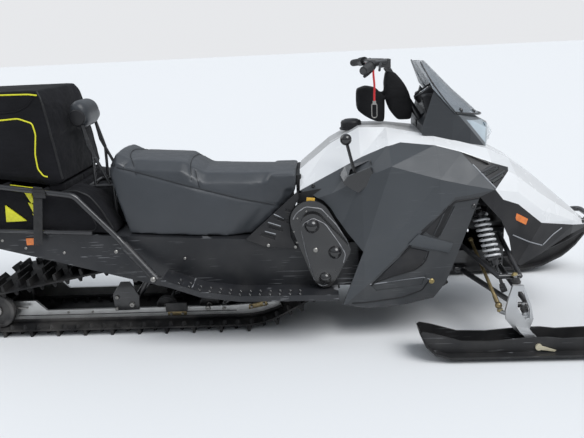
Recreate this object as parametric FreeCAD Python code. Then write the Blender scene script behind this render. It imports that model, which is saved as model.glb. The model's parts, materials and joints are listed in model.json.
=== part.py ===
import FreeCAD, Part
import math
import os
from FreeCAD import Vector

# A two-seat utility snowmobile with a wide rubber track, two skis, a rear rack and soft bags.
# Millimetres. +X is forward, +Y is the rider's left, +Z is up. The origin is on the floor
# at the middle of the whole machine's length and width.

# Driving dimensions of the whole machine
overall_length = 3420.0
ski_stance_half = 510.0
ski_half_width = 92.0
ski_pivot_x = 1092.0
ski_pivot_z = 52.0

# Track and skid
belt_half_width = 250.0
belt_thickness = 8.0
lug_height = 32.0
lug_length = 16.0
lug_pitch = 64.0
lug_root = 2.0
lug_edge = 6.0
idler_x = -1340.0
idler_radius = 85.5
drive_x = 230.0
drive_z = 295.0
drive_radius = 82.0
carrier_x = -640.0
carrier_radius = 60.0
carrier_z = 283.0
rail_curve_x = -170.0
rail_curve_radius = 420.0
rail_offset = 150.0
rail_thickness = 14.0
rail_top_z = 98.0
rail_rear_x = -1395.0
slider_height = 12.0
bogie_radius = 50.0
wheel_width = 22.0
axle_radius = 12.0
wheel_gap = 1.0

# Tunnel and footboards
track_gap = 18.0
tunnel_half_width = belt_half_width + track_gap
sheet = 3.0
tunnel_top_z = 453.0
tunnel_rise = 0.062
tunnel_front_x = 380.0
flap_reach = 110.0
tunnel_rear_x = -overall_length / 2 + flap_reach
board_width = 150.0
board_outer = tunnel_half_width + board_width
board_sheet = 4.0
board_lip = 26.0
belly_sheet = 6.0
frame_floor_z = 240.0

# Body shell
skin = 9.0
trim_thickness = 10.0
slot_depth = 6.0
recess_depth = 4.5
louvre_height = 12.0

# Seat
seat_clearance = 0.3
seat_skirt = 38.0

# Rack and bags
tube_radius = 12.5
rack_outset = 22.0
rack_half_width = tunnel_half_width + rack_outset
rack_rear_x = -1540.0
rack_bend_x = -862.0
rack_bend_z = 693.0
rack_slope = 0.161
front_cross_x = -1000.0
lower_rail_x = -985.0
lower_rail_z = 532.0
lower_rail_radius = 9.0
rack_foot_y = board_outer - 46.0
pad_tube_y = 92.0
pad_half_width = 105.0
pad_base_z = 692.0
pad_tube_radius = 8.0
bag_gap = 0.3

# Tow hitch and flap
flap_low_z = 250.0
hitch_pin_radius = 8.0
hitch_reach = 80.0
hitch_pin_x = tunnel_rear_x - hitch_reach
hitch_half_width = 40.0
hitch_plate = 8.0
hitch_low_z = 470.0
hitch_jaw = 28.0

# Tether on the handlebar
tether_y = 200.0
tether_radius = 4.5
tether_end_z = 1040.0
tether_band = 15.0
clip_wire = 2.0
clip_radius = 11.0
clip_low_z = 966.0

# Steering and front suspension
steer_ball = Vector(958, ski_stance_half - 68, 186)
joint_radius = 16.0
pin_radius = 7.0
pin_play = 0.3
fork_gap = 1.0
upright_thickness = 14.0
leg_half_width = 36.0
upright_y = ski_stance_half - leg_half_width
leg_radius = 17.0
ski_bolt_radius = 6.0
runner_radius = 5.0
ball_radius = 15.0
tie_rod_radius = 7.5
tie_rod_inner = Vector(900, 152, 388)
frame_half = 148.0
shock_top = Vector(905, 240, 562)
shock_foot = Vector(995, ski_stance_half - 138, 232)
shock_eye = 13.0
post_gap = 6.0
fit_gap = 0.3
bumper_radius = 12.0
pocket_face_y = 338.0
pocket_wall = 8.0
lever_radius = 7.0
knob_radius = 25.0
ski_sole = 9.0
ski_tip_x = overall_length / 2
rib_half = 50.0
grip_half_span = 357.0
grip_length = 125.0
grip_radius = 17.0
bar_radius = 11.1
kingpin_top = Vector(1030, ski_stance_half - 80, 292)
kingpin_bottom = Vector(1062, ski_stance_half - 58, 174)
post_top = Vector(530, 0, 1180)
post_foot = Vector(757, 0, 825)
post_radius = 15.0
bearing_radius = 30.0

BELT_INNER_Z = lug_height + belt_thickness
IDLER_Z = BELT_INNER_Z + idler_radius
RIGHT = -1
LEFT = 1
SIDES = (("right", RIGHT), ("left", LEFT))

os.makedirs("parts", exist_ok=True)


def save(name, shape):
    shape.exportStep("parts/" + name + ".step")


def fused(shapes):
    if len(shapes) == 1:
        return shapes[0]
    return shapes[0].multiFuse(shapes[1:]).removeSplitter()


def mirrored(shape):
    return shape.mirror(Vector(0, 0, 0), Vector(0, 1, 0))


def on_side(shape, side):
    # Shapes of one kind are drawn on the left, at +Y, and mirrored for the right.
    return shape if side == LEFT else mirrored(shape)


def box(x0, x1, y0, y1, z0, z1):
    return Part.makeBox(x1 - x0, y1 - y0, z1 - z0, Vector(x0, y0, z0))


def rod(a, b, radius):
    return Part.makeCylinder(radius, (b - a).Length, a, b - a)


def ball(centre, radius):
    return Part.makeSphere(radius, centre)


def disc(x, y0, y1, z, radius):
    return Part.makeCylinder(radius, y1 - y0, Vector(x, y0, z), Vector(0, 1, 0))


def prism(points, y0, y1):
    # A flat outline in XZ carried from y0 to y1.
    wire = Part.makePolygon([Vector(x, y0, z) for x, z in points + points[:1]])
    return Part.Face(wire).extrude(Vector(0, y1 - y0, 0))


def triangle(p, q, r):
    return Part.Face(Part.makePolygon([p, q, r, p]))


def closed(faces):
    shape = Part.makeSolid(Part.makeShell(faces))
    if shape.Volume < 0:
        shape.reverse()
    return shape


def ring_sides(grid, turned=0):
    # Triangles between rings of points, one ring after the other. The first turned strips are
    # split along the other diagonal, so that both sides of a body come out alike.
    faces = []
    for ring, following in zip(grid, grid[1:]):
        for k in range(len(ring)):
            a, b = ring[k], ring[(k + 1) % len(ring)]
            c, d = following[(k + 1) % len(ring)], following[k]
            for corners in ((a, b, d), (b, c, d)) if k < turned else ((a, b, c), (a, c, d)):
                p, q, r = corners
                if (q - p).cross(r - p).Length > 1e-6:
                    faces.append(triangle(p, q, r))
    return faces


def hull(grid, turned=0):
    # A closed solid over rings of points whose first and last ring are flat.
    ends = [Part.Face(Part.makePolygon(ring + ring[:1])) for ring in (grid[0], grid[-1])]
    return closed(ring_sides(grid, turned) + ends)


def bent_tube(points, radius, bend):
    # Straight runs joined by tangent arcs of the bend radius.
    edges = []
    start = points[0]
    for before, corner, after in zip(points, points[1:], points[2:]):
        u = (before - corner).normalize()
        v = (after - corner).normalize()
        half = u.getAngle(v) / 2
        cut = bend / math.tan(half)
        first = corner + u * cut
        last = corner + v * cut
        middle = corner + (u + v).normalize() * (bend / math.sin(half) - bend)
        edges.append(Part.LineSegment(start, first).toShape())
        edges.append(Part.Arc(first, middle, last).toShape())
        start = last
    edges.append(Part.LineSegment(start, points[-1]).toShape())
    path = Part.Wire(edges)
    ring = Part.Wire(Part.Circle(points[0], points[1] - points[0], radius).toShape())
    return path.makePipeShell([ring], True, False)


def tunnel_top(x):
    return tunnel_top_z - tunnel_rise * x


# The belt's path is the tight loop round four circles, offset outwards.
TRACK_CIRCLES = (
    # x, z, radius: in order round the loop, along the floor first
    (idler_x, IDLER_Z, idler_radius),
    (rail_curve_x, BELT_INNER_Z + rail_curve_radius, rail_curve_radius),
    (drive_x, drive_z, drive_radius),
    (carrier_x, carrier_z, carrier_radius),
)


def tight_loop(circles, offset=0.0):
    # The edges of the tight outline round some circles in XZ, offset outwards.
    runs = []
    for (xa, za, ra), (xb, zb, rb) in zip(circles, circles[1:] + circles[:1]):
        heading = math.atan2(zb - za, xb - xa)
        normal = heading - math.acos((ra - rb) / math.hypot(xb - xa, zb - za))
        unit = Vector(math.cos(normal), 0, math.sin(normal))
        runs.append((Vector(xa, 0, za) + unit * (ra + offset), Vector(xb, 0, zb) + unit * (rb + offset)))
    edges = []
    for k, (start, end) in enumerate(runs):
        edges.append(Part.LineSegment(start, end).toShape())
        x, z, radius = circles[(k + 1) % len(circles)]
        following = runs[(k + 1) % len(runs)][0]
        a0 = math.atan2(end.z - z, end.x - x)
        a1 = math.atan2(following.z - z, following.x - x)
        if a1 < a0:
            a1 += 2 * math.pi
        half = (a0 + a1) / 2
        middle = Vector(x, 0, z) + Vector(math.cos(half), 0, math.sin(half)) * (radius + offset)
        edges.append(Part.Arc(end, middle, following).toShape())
    return edges


def tight_solid(circles, y0, y1, offset=0.0):
    face = Part.Face(Part.Wire(tight_loop(circles, offset)))
    face.translate(Vector(0, y0, 0))
    return face.extrude(Vector(0, y1 - y0, 0))


LUG_ROWS = (
    # spans of the paddles across the belt, as shares of its half width, in turn
    ((-1.0, -0.62), (-0.28, 0.28), (0.62, 1.0)),
    ((-0.84, -0.36), (0.36, 0.84)),
)


def make_track():
    half = belt_half_width
    inside = tight_solid(TRACK_CIRCLES, -half - 1, half + 1)
    belt = tight_solid(TRACK_CIRCLES, -half, half, belt_thickness).cut(inside)
    outer = tight_loop(TRACK_CIRCLES, belt_thickness)
    total = sum(edge.Length for edge in outer)
    count = 2 * int(round(total / lug_pitch / 2))
    lugs = []
    for k in range(count):
        left = total * (k + 0.5) / count
        for edge in outer:
            if left <= edge.Length:
                break
            left -= edge.Length
        at = edge.getParameterByLength(left)
        point = edge.valueAt(at)
        tangent = edge.tangentAt(at)
        outward = Vector(tangent.z, 0, -tangent.x)
        corners = []
        for along, up, narrow in ((-1, 0, 1.0), (1, 0, 1.0), (1, 1, 0.7), (-1, 1, 0.7)):
            reach = lug_height if up else -lug_root
            corners.append(point + tangent * (along * narrow * lug_length / 2) + outward * reach)
        half = belt_half_width - lug_edge
        for low, high in LUG_ROWS[k % 2]:
            face = Part.Face(Part.makePolygon(corners + corners[:1]))
            face.translate(Vector(0, half * low, 0))
            lugs.append(face.extrude(Vector(0, half * (high - low), 0)))
    return belt.multiFuse(lugs)


def rail_profile():
    # Lower edge along the belt's inner face, curved up at the front.
    centre_z = BELT_INNER_Z + rail_curve_radius
    points = [(idler_x - 5, BELT_INNER_Z + wheel_gap), (rail_curve_x, BELT_INNER_Z + wheel_gap)]
    for degrees in (9, 18, 27):
        a = math.radians(degrees)
        reach = rail_curve_radius - wheel_gap
        points.append((rail_curve_x + reach * math.sin(a), centre_z - reach * math.cos(a)))
    a = math.radians(27)
    inner = rail_curve_radius - 34
    points.append((rail_curve_x + inner * math.sin(a), centre_z - inner * math.cos(a)))
    points.append((rail_curve_x + 60, rail_top_z + 8))
    points.append((rail_curve_x - 60, rail_top_z))
    points += [(idler_x + 215, rail_top_z), (idler_x + 165, IDLER_Z + 24), (rail_rear_x, IDLER_Z + 24)]
    points.append((rail_rear_x, BELT_INNER_Z + 26))
    return points


def make_rails():
    bore = disc(idler_x, -rail_offset - 20, rail_offset + 20, IDLER_Z, axle_radius + pin_play)
    return [prism(rail_profile(), y - rail_thickness / 2, y + rail_thickness / 2).cut(bore)
            for y in (-rail_offset, rail_offset)]


def wheel(x, y, z, radius):
    tyre = disc(x, y - wheel_width / 2, y + wheel_width / 2, z, radius)
    dish = disc(x, y - wheel_width / 2 - 1, y - wheel_width / 2 + 6, z, radius * 0.72)
    hub = disc(x, y - wheel_width / 2, y - wheel_width / 2 + 7, z, radius * 0.3)
    return tyre.cut(dish).fuse(hub)


IDLER_ROWS = (-205.0, 0.0, 205.0)
BOGIES = (
    # x, y of each small wheel inside the rails
    (-545.0, 112.0),
    (-335.0, 112.0),
)


def make_idlers():
    # Wheels run 1 mm clear inside the belt; the axle carries them between the rails.
    radius = idler_radius - wheel_gap
    parts = [disc(idler_x, -222, 222, IDLER_Z, axle_radius)]
    parts += [wheel(idler_x, y, IDLER_Z, radius) for y in IDLER_ROWS]
    return fused(parts)


def make_bogies():
    groups = []
    z = BELT_INNER_Z + wheel_gap + bogie_radius
    for x, y in BOGIES:
        reach = rail_offset - rail_thickness / 2
        parts = [disc(x, -reach, reach, z, axle_radius - 3)]
        parts += [wheel(x, side * y, z, bogie_radius) for side in (RIGHT, LEFT)]
        groups.append(fused(parts))
    return groups


def make_carrier():
    radius = carrier_radius - wheel_gap
    reach = tunnel_half_width - sheet
    parts = [disc(carrier_x, -reach, reach, carrier_z, axle_radius)]
    parts += [wheel(carrier_x, y, carrier_z, radius) for y in (-60.0, 60.0)]
    return fused(parts)


def make_drive():
    radius = drive_radius - wheel_gap
    reach = tunnel_half_width - sheet
    parts = [disc(drive_x, -reach, reach, drive_z, 19)]
    for y in (-150.0, -60.0, 60.0, 150.0):
        parts.append(disc(drive_x, y - 12, y + 12, drive_z, radius))
    return fused(parts)


SKID_ARMS = (
    # rail x, rail z, tunnel x, tunnel z
    (-700.0, 120.0, -560.0, 318.0),
    (-260.0, 92.0, -20.0, 330.0),
)


def make_skid_arm(xr, zr, xt, zt):
    reach = rail_offset - rail_thickness / 2
    parts = [disc(xr, -reach, reach, zr, 14)]
    parts.append(disc(xt, -tunnel_half_width + sheet, tunnel_half_width - sheet, zt, 16))
    for side in (RIGHT, LEFT):
        y = side * (reach - 19)
        parts.append(rod(Vector(xr, y, zr), Vector(xt, y, zt), 13))
    return fused(parts)


def make_shock(a, b, body, spring, eye, across):
    # A damper turned from one profile, with its coil as an outer sleeve, between two eyes.
    axis = (b - a).normalize()
    span = (b - a).Length
    out = axis.cross(across).normalize()
    last = span - eye + 4
    profile = ((0.0, 0.0), (body * 0.45, 0.0), (body * 0.45, span * 0.10), (spring, span * 0.10),
               (spring, span * 0.62), (body, span * 0.62), (body, last), (0.0, last))
    corners = [a + axis * along + out * radius for radius, along in profile]
    turned = Part.Face(Part.makePolygon(corners + corners[:1])).revolve(a, axis, 360)
    ends = [rod(end - across * 13, end + across * 13, eye) for end in (a, b)]
    return turned.multiFuse(ends)


TUNNEL_SIDE = (
    # x, height of the side sheet's lower edge
    (tunnel_rear_x, 505.0),
    (-1380.0, 488.0),
    (-1255.0, 455.0),
    (-1000.0, 385.0),
    (-700.0, 300.0),
    (-470.0, 236.0),
    (380.0, 230.0),
)


def make_tunnel():
    top = [(tunnel_rear_x, tunnel_top(tunnel_rear_x)), (tunnel_front_x, tunnel_top(tunnel_front_x))]
    under = [(x, z - sheet) for x, z in reversed(top)]
    parts = [prism(top + under, -tunnel_half_width, tunnel_half_width)]
    outline = top + list(reversed(TUNNEL_SIDE))
    for side in (RIGHT, LEFT):
        near, far = sorted((side * tunnel_half_width, side * (tunnel_half_width - sheet)))
        parts.append(prism(outline, near, far))
    z0 = TUNNEL_SIDE[-1][1]
    parts.append(box(tunnel_front_x - sheet, tunnel_front_x, -tunnel_half_width, tunnel_half_width,
                     z0, tunnel_top(tunnel_front_x)))
    return fused(parts)


BOARD_LINE = (
    # x, height of the footboard's upper face
    (-479.5, 330.0),
    (-315.0, 268.0),
    (-142.0, 242.0),
    (286.0, 236.0),
)


def make_board():
    upper = list(BOARD_LINE)
    lower = [(x, z - board_sheet) for x, z in reversed(BOARD_LINE)]
    flat = prism(upper + lower, tunnel_half_width, board_outer)
    rim = [(x, z + 8) for x, z in BOARD_LINE]
    skirt = [(x, z + 8 - board_lip) for x, z in reversed(BOARD_LINE)]
    lip = prism(rim + skirt, board_outer - board_sheet, board_outer)
    return fused([flat, lip])


# Outer form of the whole body: one ring per station, half of it on the left.
BODY = (
    # x, centre z, shoulder y z, seam y z, ridge y z, waist y z, hem y z
    (130.0, 742.0, 110.0, 738.0, 200.0, 668.0, 245.0, 610.0, 262.0, 440.0, 268.0, 240.0),
    (270.0, 850.0, 110.0, 850.0, 212.0, 739.0, 285.0, 660.0, 300.0, 430.0, 330.0, 170.0),
    (400.0, 918.0, 108.0, 918.0, 222.0, 806.0, 325.0, 730.0, 378.0, 430.0, 352.0, 150.0),
    (520.0, 917.0, 112.0, 915.0, 240.0, 858.0, 368.0, 785.0, 380.0, 470.0, 345.0, 145.0),
    (720.0, 884.0, 180.0, 880.0, 242.0, 848.0, 366.0, 722.0, 380.0, 600.0, 335.0, 172.0),
    (830.0, 862.0, 190.0, 850.0, 262.0, 816.0, 360.0, 694.0, 368.0, 636.0, 330.0, 300.0),
    (950.0, 828.0, 190.0, 815.0, 275.0, 770.0, 340.0, 664.0, 345.0, 610.0, 320.0, 300.0),
    (1060.0, 766.0, 130.0, 758.0, 270.0, 706.0, 302.0, 640.0, 305.0, 589.0, 290.0, 290.0),
    (1180.0, 676.0, 115.0, 668.0, 232.0, 612.0, 262.0, 545.0, 262.0, 490.0, 232.0, 330.0),
    (1350.0, 528.0, 85.0, 520.0, 155.0, 496.0, 170.0, 470.0, 165.0, 446.0, 150.0, 400.0),
    (1432.0, 452.0, 55.0, 448.0, 88.0, 440.0, 92.0, 432.0, 90.0, 424.0, 84.0, 410.0),
)


def body_ring(row, inset, sink):
    x, cz, sy, sz, ty, tz, ry, rz, wy, wz, hy, hz = row
    half = [(sy, sz), (ty, tz), (ry, rz), (wy, wz), (hy, hz)]
    left = [Vector(x, y - inset, z - sink * (k < 2)) for k, (y, z) in enumerate(half)]
    right = [Vector(x, -p.y, p.z) for p in reversed(left)]
    return [Vector(x, 0, cz - sink)] + left + right


def body_solid(inset, sink, x_shift):
    rings = [body_ring(row, inset, sink) for row in BODY]
    rings[0] = [p + Vector(x_shift, 0, 0) for p in rings[0]]
    rings[-1] = [p - Vector(x_shift, 0, 0) for p in rings[-1]]
    return hull(rings, len(BODY[0]) // 2 - 1)


SEAM = [
    # x, z of the line where the white covers meet the grey side panels
    (129, 660), (407, 806), (510, 850), (572, 862), (717, 846), (822, 817),
]
SIDE_PANEL = SEAM + [
    # x, z of the rest of the side panel's outline, down the front and back up the rear edge
    (955, 664), (782, 645), (412, 262), (300, 148), (397, 420), (330, 497), (290, 552), (264, 596),
    (235, 627), (193, 645),
]
VENT = [(822, 817), (1032, 737), (955, 664)]
LOUVRES = (
    # x, z of the rear end, x, z of the front end of each slot in the vent
    (868.0, 762.0, 932.0, 774.0),
    (900.0, 726.0, 978.0, 750.0),
    (928.0, 694.0, 1000.0, 722.0),
)
LOWER_INSERT = [
    (782, 645), (955, 664), (886, 640), (806, 400), (756, 258), (703, 186), (552, 155), (300, 148),
    (412, 262),
]
RECESSES = (
    # outlines sunk into the lower insert, x and z
    [(598, 434), (668, 414), (660, 372), (630, 346), (472, 312)],
    [(652, 508), (738, 592), (692, 474)],
    [(752, 598), (781, 609), (723, 480), (700, 470)],
    [(428, 264), (668, 296), (650, 252), (450, 234)],
)
NOSE_LINE = [
    # x, z of the line where the white hood meets the black nose
    (955, 664), (991, 618), (1062, 589), (1177, 491), (1353, 448), (1440, 425),
]
HOOD_EDGE = [(717, 846), (822, 817), (1032, 737)] + NOSE_LINE
NOSE = NOSE_LINE + [
    (1440, 395), (1330, 395), (1215, 345), (1108, 285), (1055, 330), (1030, 440), (985, 530),
    (930, 590), (886, 640),
]


def front_bumper(radius):
    ends = [Vector(1300, y, 428) for y in (-100, 100)]
    corners = [Vector(1470, y, 455) for y in (-100, 100)]
    return bent_tube([ends[0]] + corners + [ends[1]], radius, 36.0)


def louvre_slots(reach):
    slots = []
    for xa, za, xb, zb in LOUVRES:
        lower = [(xb + 4, zb - louvre_height), (xa + 4, za - louvre_height)]
        slots.append(prism([(xa, za), (xb, zb)] + lower, 100, reach))
    return Part.makeCompound(slots)


def make_skin_parts():
    shell = body_solid(0, 0, 0).cut(body_solid(skin, skin, skin))
    reach = 450.0
    parts = {}
    for label, outline in (("side_panel", SIDE_PANEL), ("side_vent", VENT),
                           ("lower_insert", LOWER_INSERT)):
        piece = prism(outline, 150, reach)
        if label == "side_vent":
            piece = piece.cut(louvre_slots(reach))
        for name, side in SIDES:
            parts[label + "_" + name] = shell.common(on_side(piece, side))
    sunk = body_solid(0, 0, 0).cut(body_solid(recess_depth, recess_depth, recess_depth))
    for outline in RECESSES:
        for name, side in SIDES:
            label = "lower_insert_" + name
            cutter = sunk.common(on_side(prism(outline, 150, reach), side))
            parts[label] = parts[label].cut(cutter)
    post_hole = rod(post_top, post_foot, post_radius + post_gap)
    over = [(129, 1000)] + SEAM[:5] + [(717, 1000)]
    parts["console"] = shell.common(prism(over, -reach, reach)).cut(post_hole)
    front = HOOD_EDGE + [(1440, 1000), (717, 1000)]
    bumper = front_bumper(bumper_radius + fit_gap)
    parts["hood"] = shell.common(prism(front, -reach, reach)).cut(post_hole).cut(bumper)
    parts["nose_fairing"] = shell.common(prism(NOSE, -reach, reach)).cut(bumper)
    return parts


SEAT = (
    # x at the bottom, x at the top, top z, half width
    (-652.0, -742.0, 800.0, 196.0),
    (-640.0, -700.0, 862.0, 200.0),
    (-600.0, -640.0, 830.0, 206.0),
    (-400.0, -392.0, 812.0, 210.0),
    (-310.0, -300.0, 756.0, 208.0),
    (-200.0, -60.0, 745.0, 196.0),
    (-139.0, 118.0, 742.0, 170.0),
)


def make_seat():
    rings = []
    for xb, xt, zt, half in SEAT:
        zb = tunnel_top(xb) + seat_clearance
        slope = (xt - xb) / (zt - zb)
        ring = []
        for y, z in ((half + seat_skirt, zb), (half + seat_skirt / 2, (zb + zt) / 2),
                     (half - 10, zt - 45), (half - 60, zt - 6), (0, zt)):
            ring.append(Vector(xb + (z - zb) * slope, y, z))
        ring += [Vector(p.x, -p.y, p.z) for p in reversed(ring[:-1])]
        rings.append(ring)
    return hull(rings)


def make_windshield():
    # Rings across the screen from its lower edge to its top, each bowed forward.
    rows = (
        # edge x, centre x, edge z, centre z, half width
        (812.0, 960.0, 972.6, 944.0, 200.0),
        (716.0, 830.0, 1080.0, 1062.0, 205.0),
        (668.0, 702.0, 1190.0, 1192.0, 150.0),
    )
    thick = 4.0
    rings = []
    for xe, xc, ze, zc, half in rows:
        front = []
        for k in range(-4, 5):
            s = k / 4.0
            bow = 1 - s * s
            front.append(Vector(xe + (xc - xe) * bow, half * s, ze + (zc - ze) * bow))
        back = [p - Vector(thick, 0, thick * 0.3) for p in reversed(front)]
        rings.append(front + back)
    faces = ring_sides(rings)
    for ring in (rings[0], rings[-1]):
        # The edges are bowed, so each end is closed by a strip of triangles.
        for k in range(len(front) - 1):
            a, b, c, d = ring[k], ring[k + 1], ring[-2 - k], ring[-1 - k]
            faces += [triangle(a, b, c), triangle(a, c, d)]
    return closed(faces)


def make_pod():
    # The dark pod on the hood that carries the screen, the gauge and the headlight.
    rows = (
        # x, base half width, base z, edge half width, edge z, centre z
        (672.0, 186.0, 884.0, 192.0, 925.0, 925.0),
        (716.0, 186.0, 868.0, 200.0, 1070.0, 965.0),
        (800.0, 190.0, 846.0, 198.0, 976.0, 1010.0),
        (880.0, 182.0, 826.0, 178.0, 940.0, 975.0),
        (955.0, 135.0, 800.0, 135.0, 900.0, 925.0),
    )
    rings = []
    for x, yb, zb, ye, ze, zc in rows:
        half = [(60.0, zc), (ye, ze), (yb, zb)]
        left = [Vector(x, y, z) for y, z in half]
        right = [Vector(x, -p.y, p.z) for p in reversed(left)]
        rings.append(left + right)
    way = rod(post_top, post_foot, post_radius + post_gap + 12)
    return hull(rings).cut(body_solid(0, 0, 0)).cut(way)


def make_headlight():
    # A lens that wraps round the front of the pod.
    rows = (
        # half width, front x at the middle, front x at the edge, z
        (126.0, 975.0, 962.0, 812.0),
        (130.0, 1002.0, 964.0, 868.0),
        (128.0, 972.0, 962.0, 918.0),
    )
    back = 956.0
    rings = []
    for half, xm, xe, z in rows:
        front = [Vector(xe, half, z), Vector(xm, half * 0.45, z)]
        mirror = [Vector(p.x, -p.y, p.z) for p in reversed(front)]
        rings.append([Vector(back, half, z)] + front + mirror + [Vector(back, -half, z)])
    return hull(rings).cut(body_solid(0, 0, 0))


COVER_DEPTH = 64.0
CHAINCASE_FLANGE = (
    # x, z, radius of the circles that its outline runs round
    (228.0, 292.0, 54.0),
    (285.0, 412.0, 60.0),
    (176.0, 546.0, 90.0),
)
CHAINCASE_FACE = (
    # the same for the raised face
    (229.0, 292.0, 46.0),
    (290.0, 415.0, 48.0),
    (182.0, 532.0, 52.0),
)
DOMES = (
    # x, z, radius
    (180.0, 530.0, 33.0),
    (276.0, 408.0, 30.0),
    (230.0, 290.0, 28.0),
)


def make_chaincase():
    # Drawn on the left and mirrored to the right, where the chain drive is.
    start = tunnel_half_width
    parts = [tight_solid(CHAINCASE_FLANGE, start, start + COVER_DEPTH * 0.6)]
    parts.append(tight_solid(CHAINCASE_FACE, start + COVER_DEPTH * 0.5, start + COVER_DEPTH))
    for x, z, radius in DOMES:
        parts.append(Part.makeSphere(radius, Vector(x, start + COVER_DEPTH - 6, z)))
    return mirrored(fused(parts))


TRIM = [(-120, 462), (126, 676), (126, 640), (80, 560), (84, 470), (112, 412), (-30, 424)]


def make_trim():
    outer = tunnel_half_width + trim_thickness
    panel = prism(TRIM, tunnel_half_width, outer)
    slots = []
    for k in range(4):
        x = -50 + 38 * k
        z = 478 + 36 * k
        slot = prism([(x, z), (x + 62, z - 22), (x + 62, z - 8), (x + 6, z + 12)],
                     outer - slot_depth, outer + 1)
        slots.append(slot)
    return panel.cut(Part.makeCompound(slots))


def rack_point(x, y):
    # A point on the upper rail's long straight stretch.
    return Vector(x, y, rack_bend_z + (rack_bend_x - x) * rack_slope)


def make_rack():
    parts = []
    for side in (RIGHT, LEFT):
        y = side * rack_half_width
        main = [rack_point(rack_rear_x, y), rack_point(rack_bend_x, y),
                Vector(-686, y, 490), Vector(-520, side * rack_foot_y, 330)]
        parts.append(bent_tube(main, tube_radius, 60.0))
        heel = Vector(rack_rear_x - 20, y, tunnel_top(rack_rear_x - 20) + 13)
        knee = Vector(lower_rail_x, y, lower_rail_z)
        parts.append(rod(rack_point(rack_rear_x + 20, y), heel, tube_radius))
        parts.append(rod(knee, heel, lower_rail_radius))
        parts.append(rod(knee, Vector(-800, y, lower_rail_z - 12), lower_rail_radius))
        for x in (lower_rail_x - 25, lower_rail_x - 465):
            z = lower_rail_z + (lower_rail_x - x) * 0.05
            inner = Vector(x, side * (tunnel_half_width - 1), z - 18)
            parts.append(rod(Vector(x, y, z), inner, 6))
    for x in (rack_rear_x, -1350.0, -1175.0, front_cross_x):
        across = rack_half_width
        parts.append(rod(rack_point(x, -across), rack_point(x, across), tube_radius - 2))
    return fused(parts).cut(make_tunnel())


def make_sleeves(rack):
    # Black moulded feet join the rack tubes to the footboards.
    feet = []
    for side in (RIGHT, LEFT):
        a = Vector(-660, side * (rack_half_width + 12), 463)
        b = Vector(-506, side * (rack_foot_y + 4), 318)
        shoe = disc(b.x + 6, b.y - 10, b.y + 10, b.z, 20)
        feet.append(rod(a, b, tube_radius + 7).fuse(shoe).cut(rack))
    return Part.makeCompound([max(foot.Solids, key=lambda solid: solid.Volume) for foot in feet])


BAG = (
    # z, front x, rear x, half width
    (748.0, -908.0, -1500.0, 256.0),
    (980.0, -938.0, -1512.0, 250.0),
    (1120.0, -962.0, -1500.0, 240.0),
    (1158.0, -985.0, -1480.0, 226.0),
)
LOW_BAG = [
    # x, z of the lower bag's upper outline from its front foot back
    (-706, 530), (-764, 638), (-803, 690), (-867, 719), (-930, 714), (-975, 694), (-1500, 776),
]


def make_bags():
    # The upper bag rests on the rack's cross tubes; the lower one fills the space under it.
    rise = (tube_radius - 2 + bag_gap) * math.hypot(1, rack_slope)
    foot = [rack_point(x, 0).z + rise for x in (-962.0, -1490.0)]
    rings = [[Vector(-962, -236, foot[0]), Vector(-962, 236, foot[0]),
              Vector(-1490, 236, foot[1]), Vector(-1490, -236, foot[1])]]
    for z, xf, xr, half in BAG:
        rear_z = z + rack_slope * (xf - xr) if z == BAG[0][0] else z
        rings.append([Vector(xf, -half, z), Vector(xf, half, z),
                      Vector(xr, half, rear_z), Vector(xr, -half, rear_z)])
    upper = hull(rings)
    feet = [(x, tunnel_top(x) + bag_gap) for x in (-1500, -700)]
    half = rack_half_width - tube_radius - 16
    lower = prism(feet + LOW_BAG, -half, half)
    # The backrest's base lies in a hollow of its top, and two posts run down its front.
    floor_z = pad_base_z - pad_tube_radius - bag_gap
    lower = lower.cut(box(-885, -690, -pad_tube_y - 16, pad_tube_y + 16, floor_z, pad_base_z + 48))
    for side in (RIGHT, LEFT):
        y0, y1 = sorted((side * (pad_tube_y - 11), side * (pad_tube_y + 11)))
        lower = lower.cut(box(-757, -690, y0, y1, 480, 800))
    return upper, lower


def make_strap():
    # Webbing that hangs from the upper rail down past the lower one.
    inner = rack_half_width + tube_radius
    return prism([(-1030, 745), (-990, 738), (-1028, 478), (-1068, 478)], inner, inner + 3)


PAD = (
    # x, z round the pad's section from its middle
    (-40, -60), (14, -68), (46, -40), (50, 10), (32, 52), (-12, 68), (-42, 44), (-48, -8),
)
PAD_MIDDLE = Vector(-870, 0, 1026)


def make_backrest_pad():
    rings = []
    edge = pad_half_width - 24
    for y, grow in ((-pad_half_width, 0.66), (-edge, 1.0), (edge, 1.0), (pad_half_width, 0.66)):
        rings.append([PAD_MIDDLE + Vector(x * grow, y, z * grow) for x, z in PAD])
    return hull(rings)


def make_backrest_frame():
    # A base on the lower bag, two struts a side up to the pad, and posts down to the tunnel.
    parts = []
    for side in (RIGHT, LEFT):
        y = side * pad_tube_y
        base = [Vector(x, y, pad_base_z) for x in (-862, -730)]
        parts.append(rod(base[0], base[1], pad_tube_radius))
        post = Vector(-745, y, pad_base_z)
        parts.append(rod(post, Vector(post.x, y, tunnel_top(post.x - 8) + fit_gap), pad_tube_radius))
        for line in (((-757, pad_base_z), (-802, 796), (-843, 886), (-858, 980)),
                     ((-828, pad_base_z), (-824, 850), (-858, 980))):
            points = [Vector(x, y, z) for x, z in line]
            for a, b in zip(points, points[1:]):
                parts += [rod(a, b, 7), ball(b, 7)]
    for x, z in ((-862, pad_base_z), (-730, pad_base_z), (-858, 972)):
        parts.append(rod(Vector(x, -pad_tube_y, z), Vector(x, pad_tube_y, z), 7))
    return fused(parts).cut(make_backrest_pad())


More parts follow.
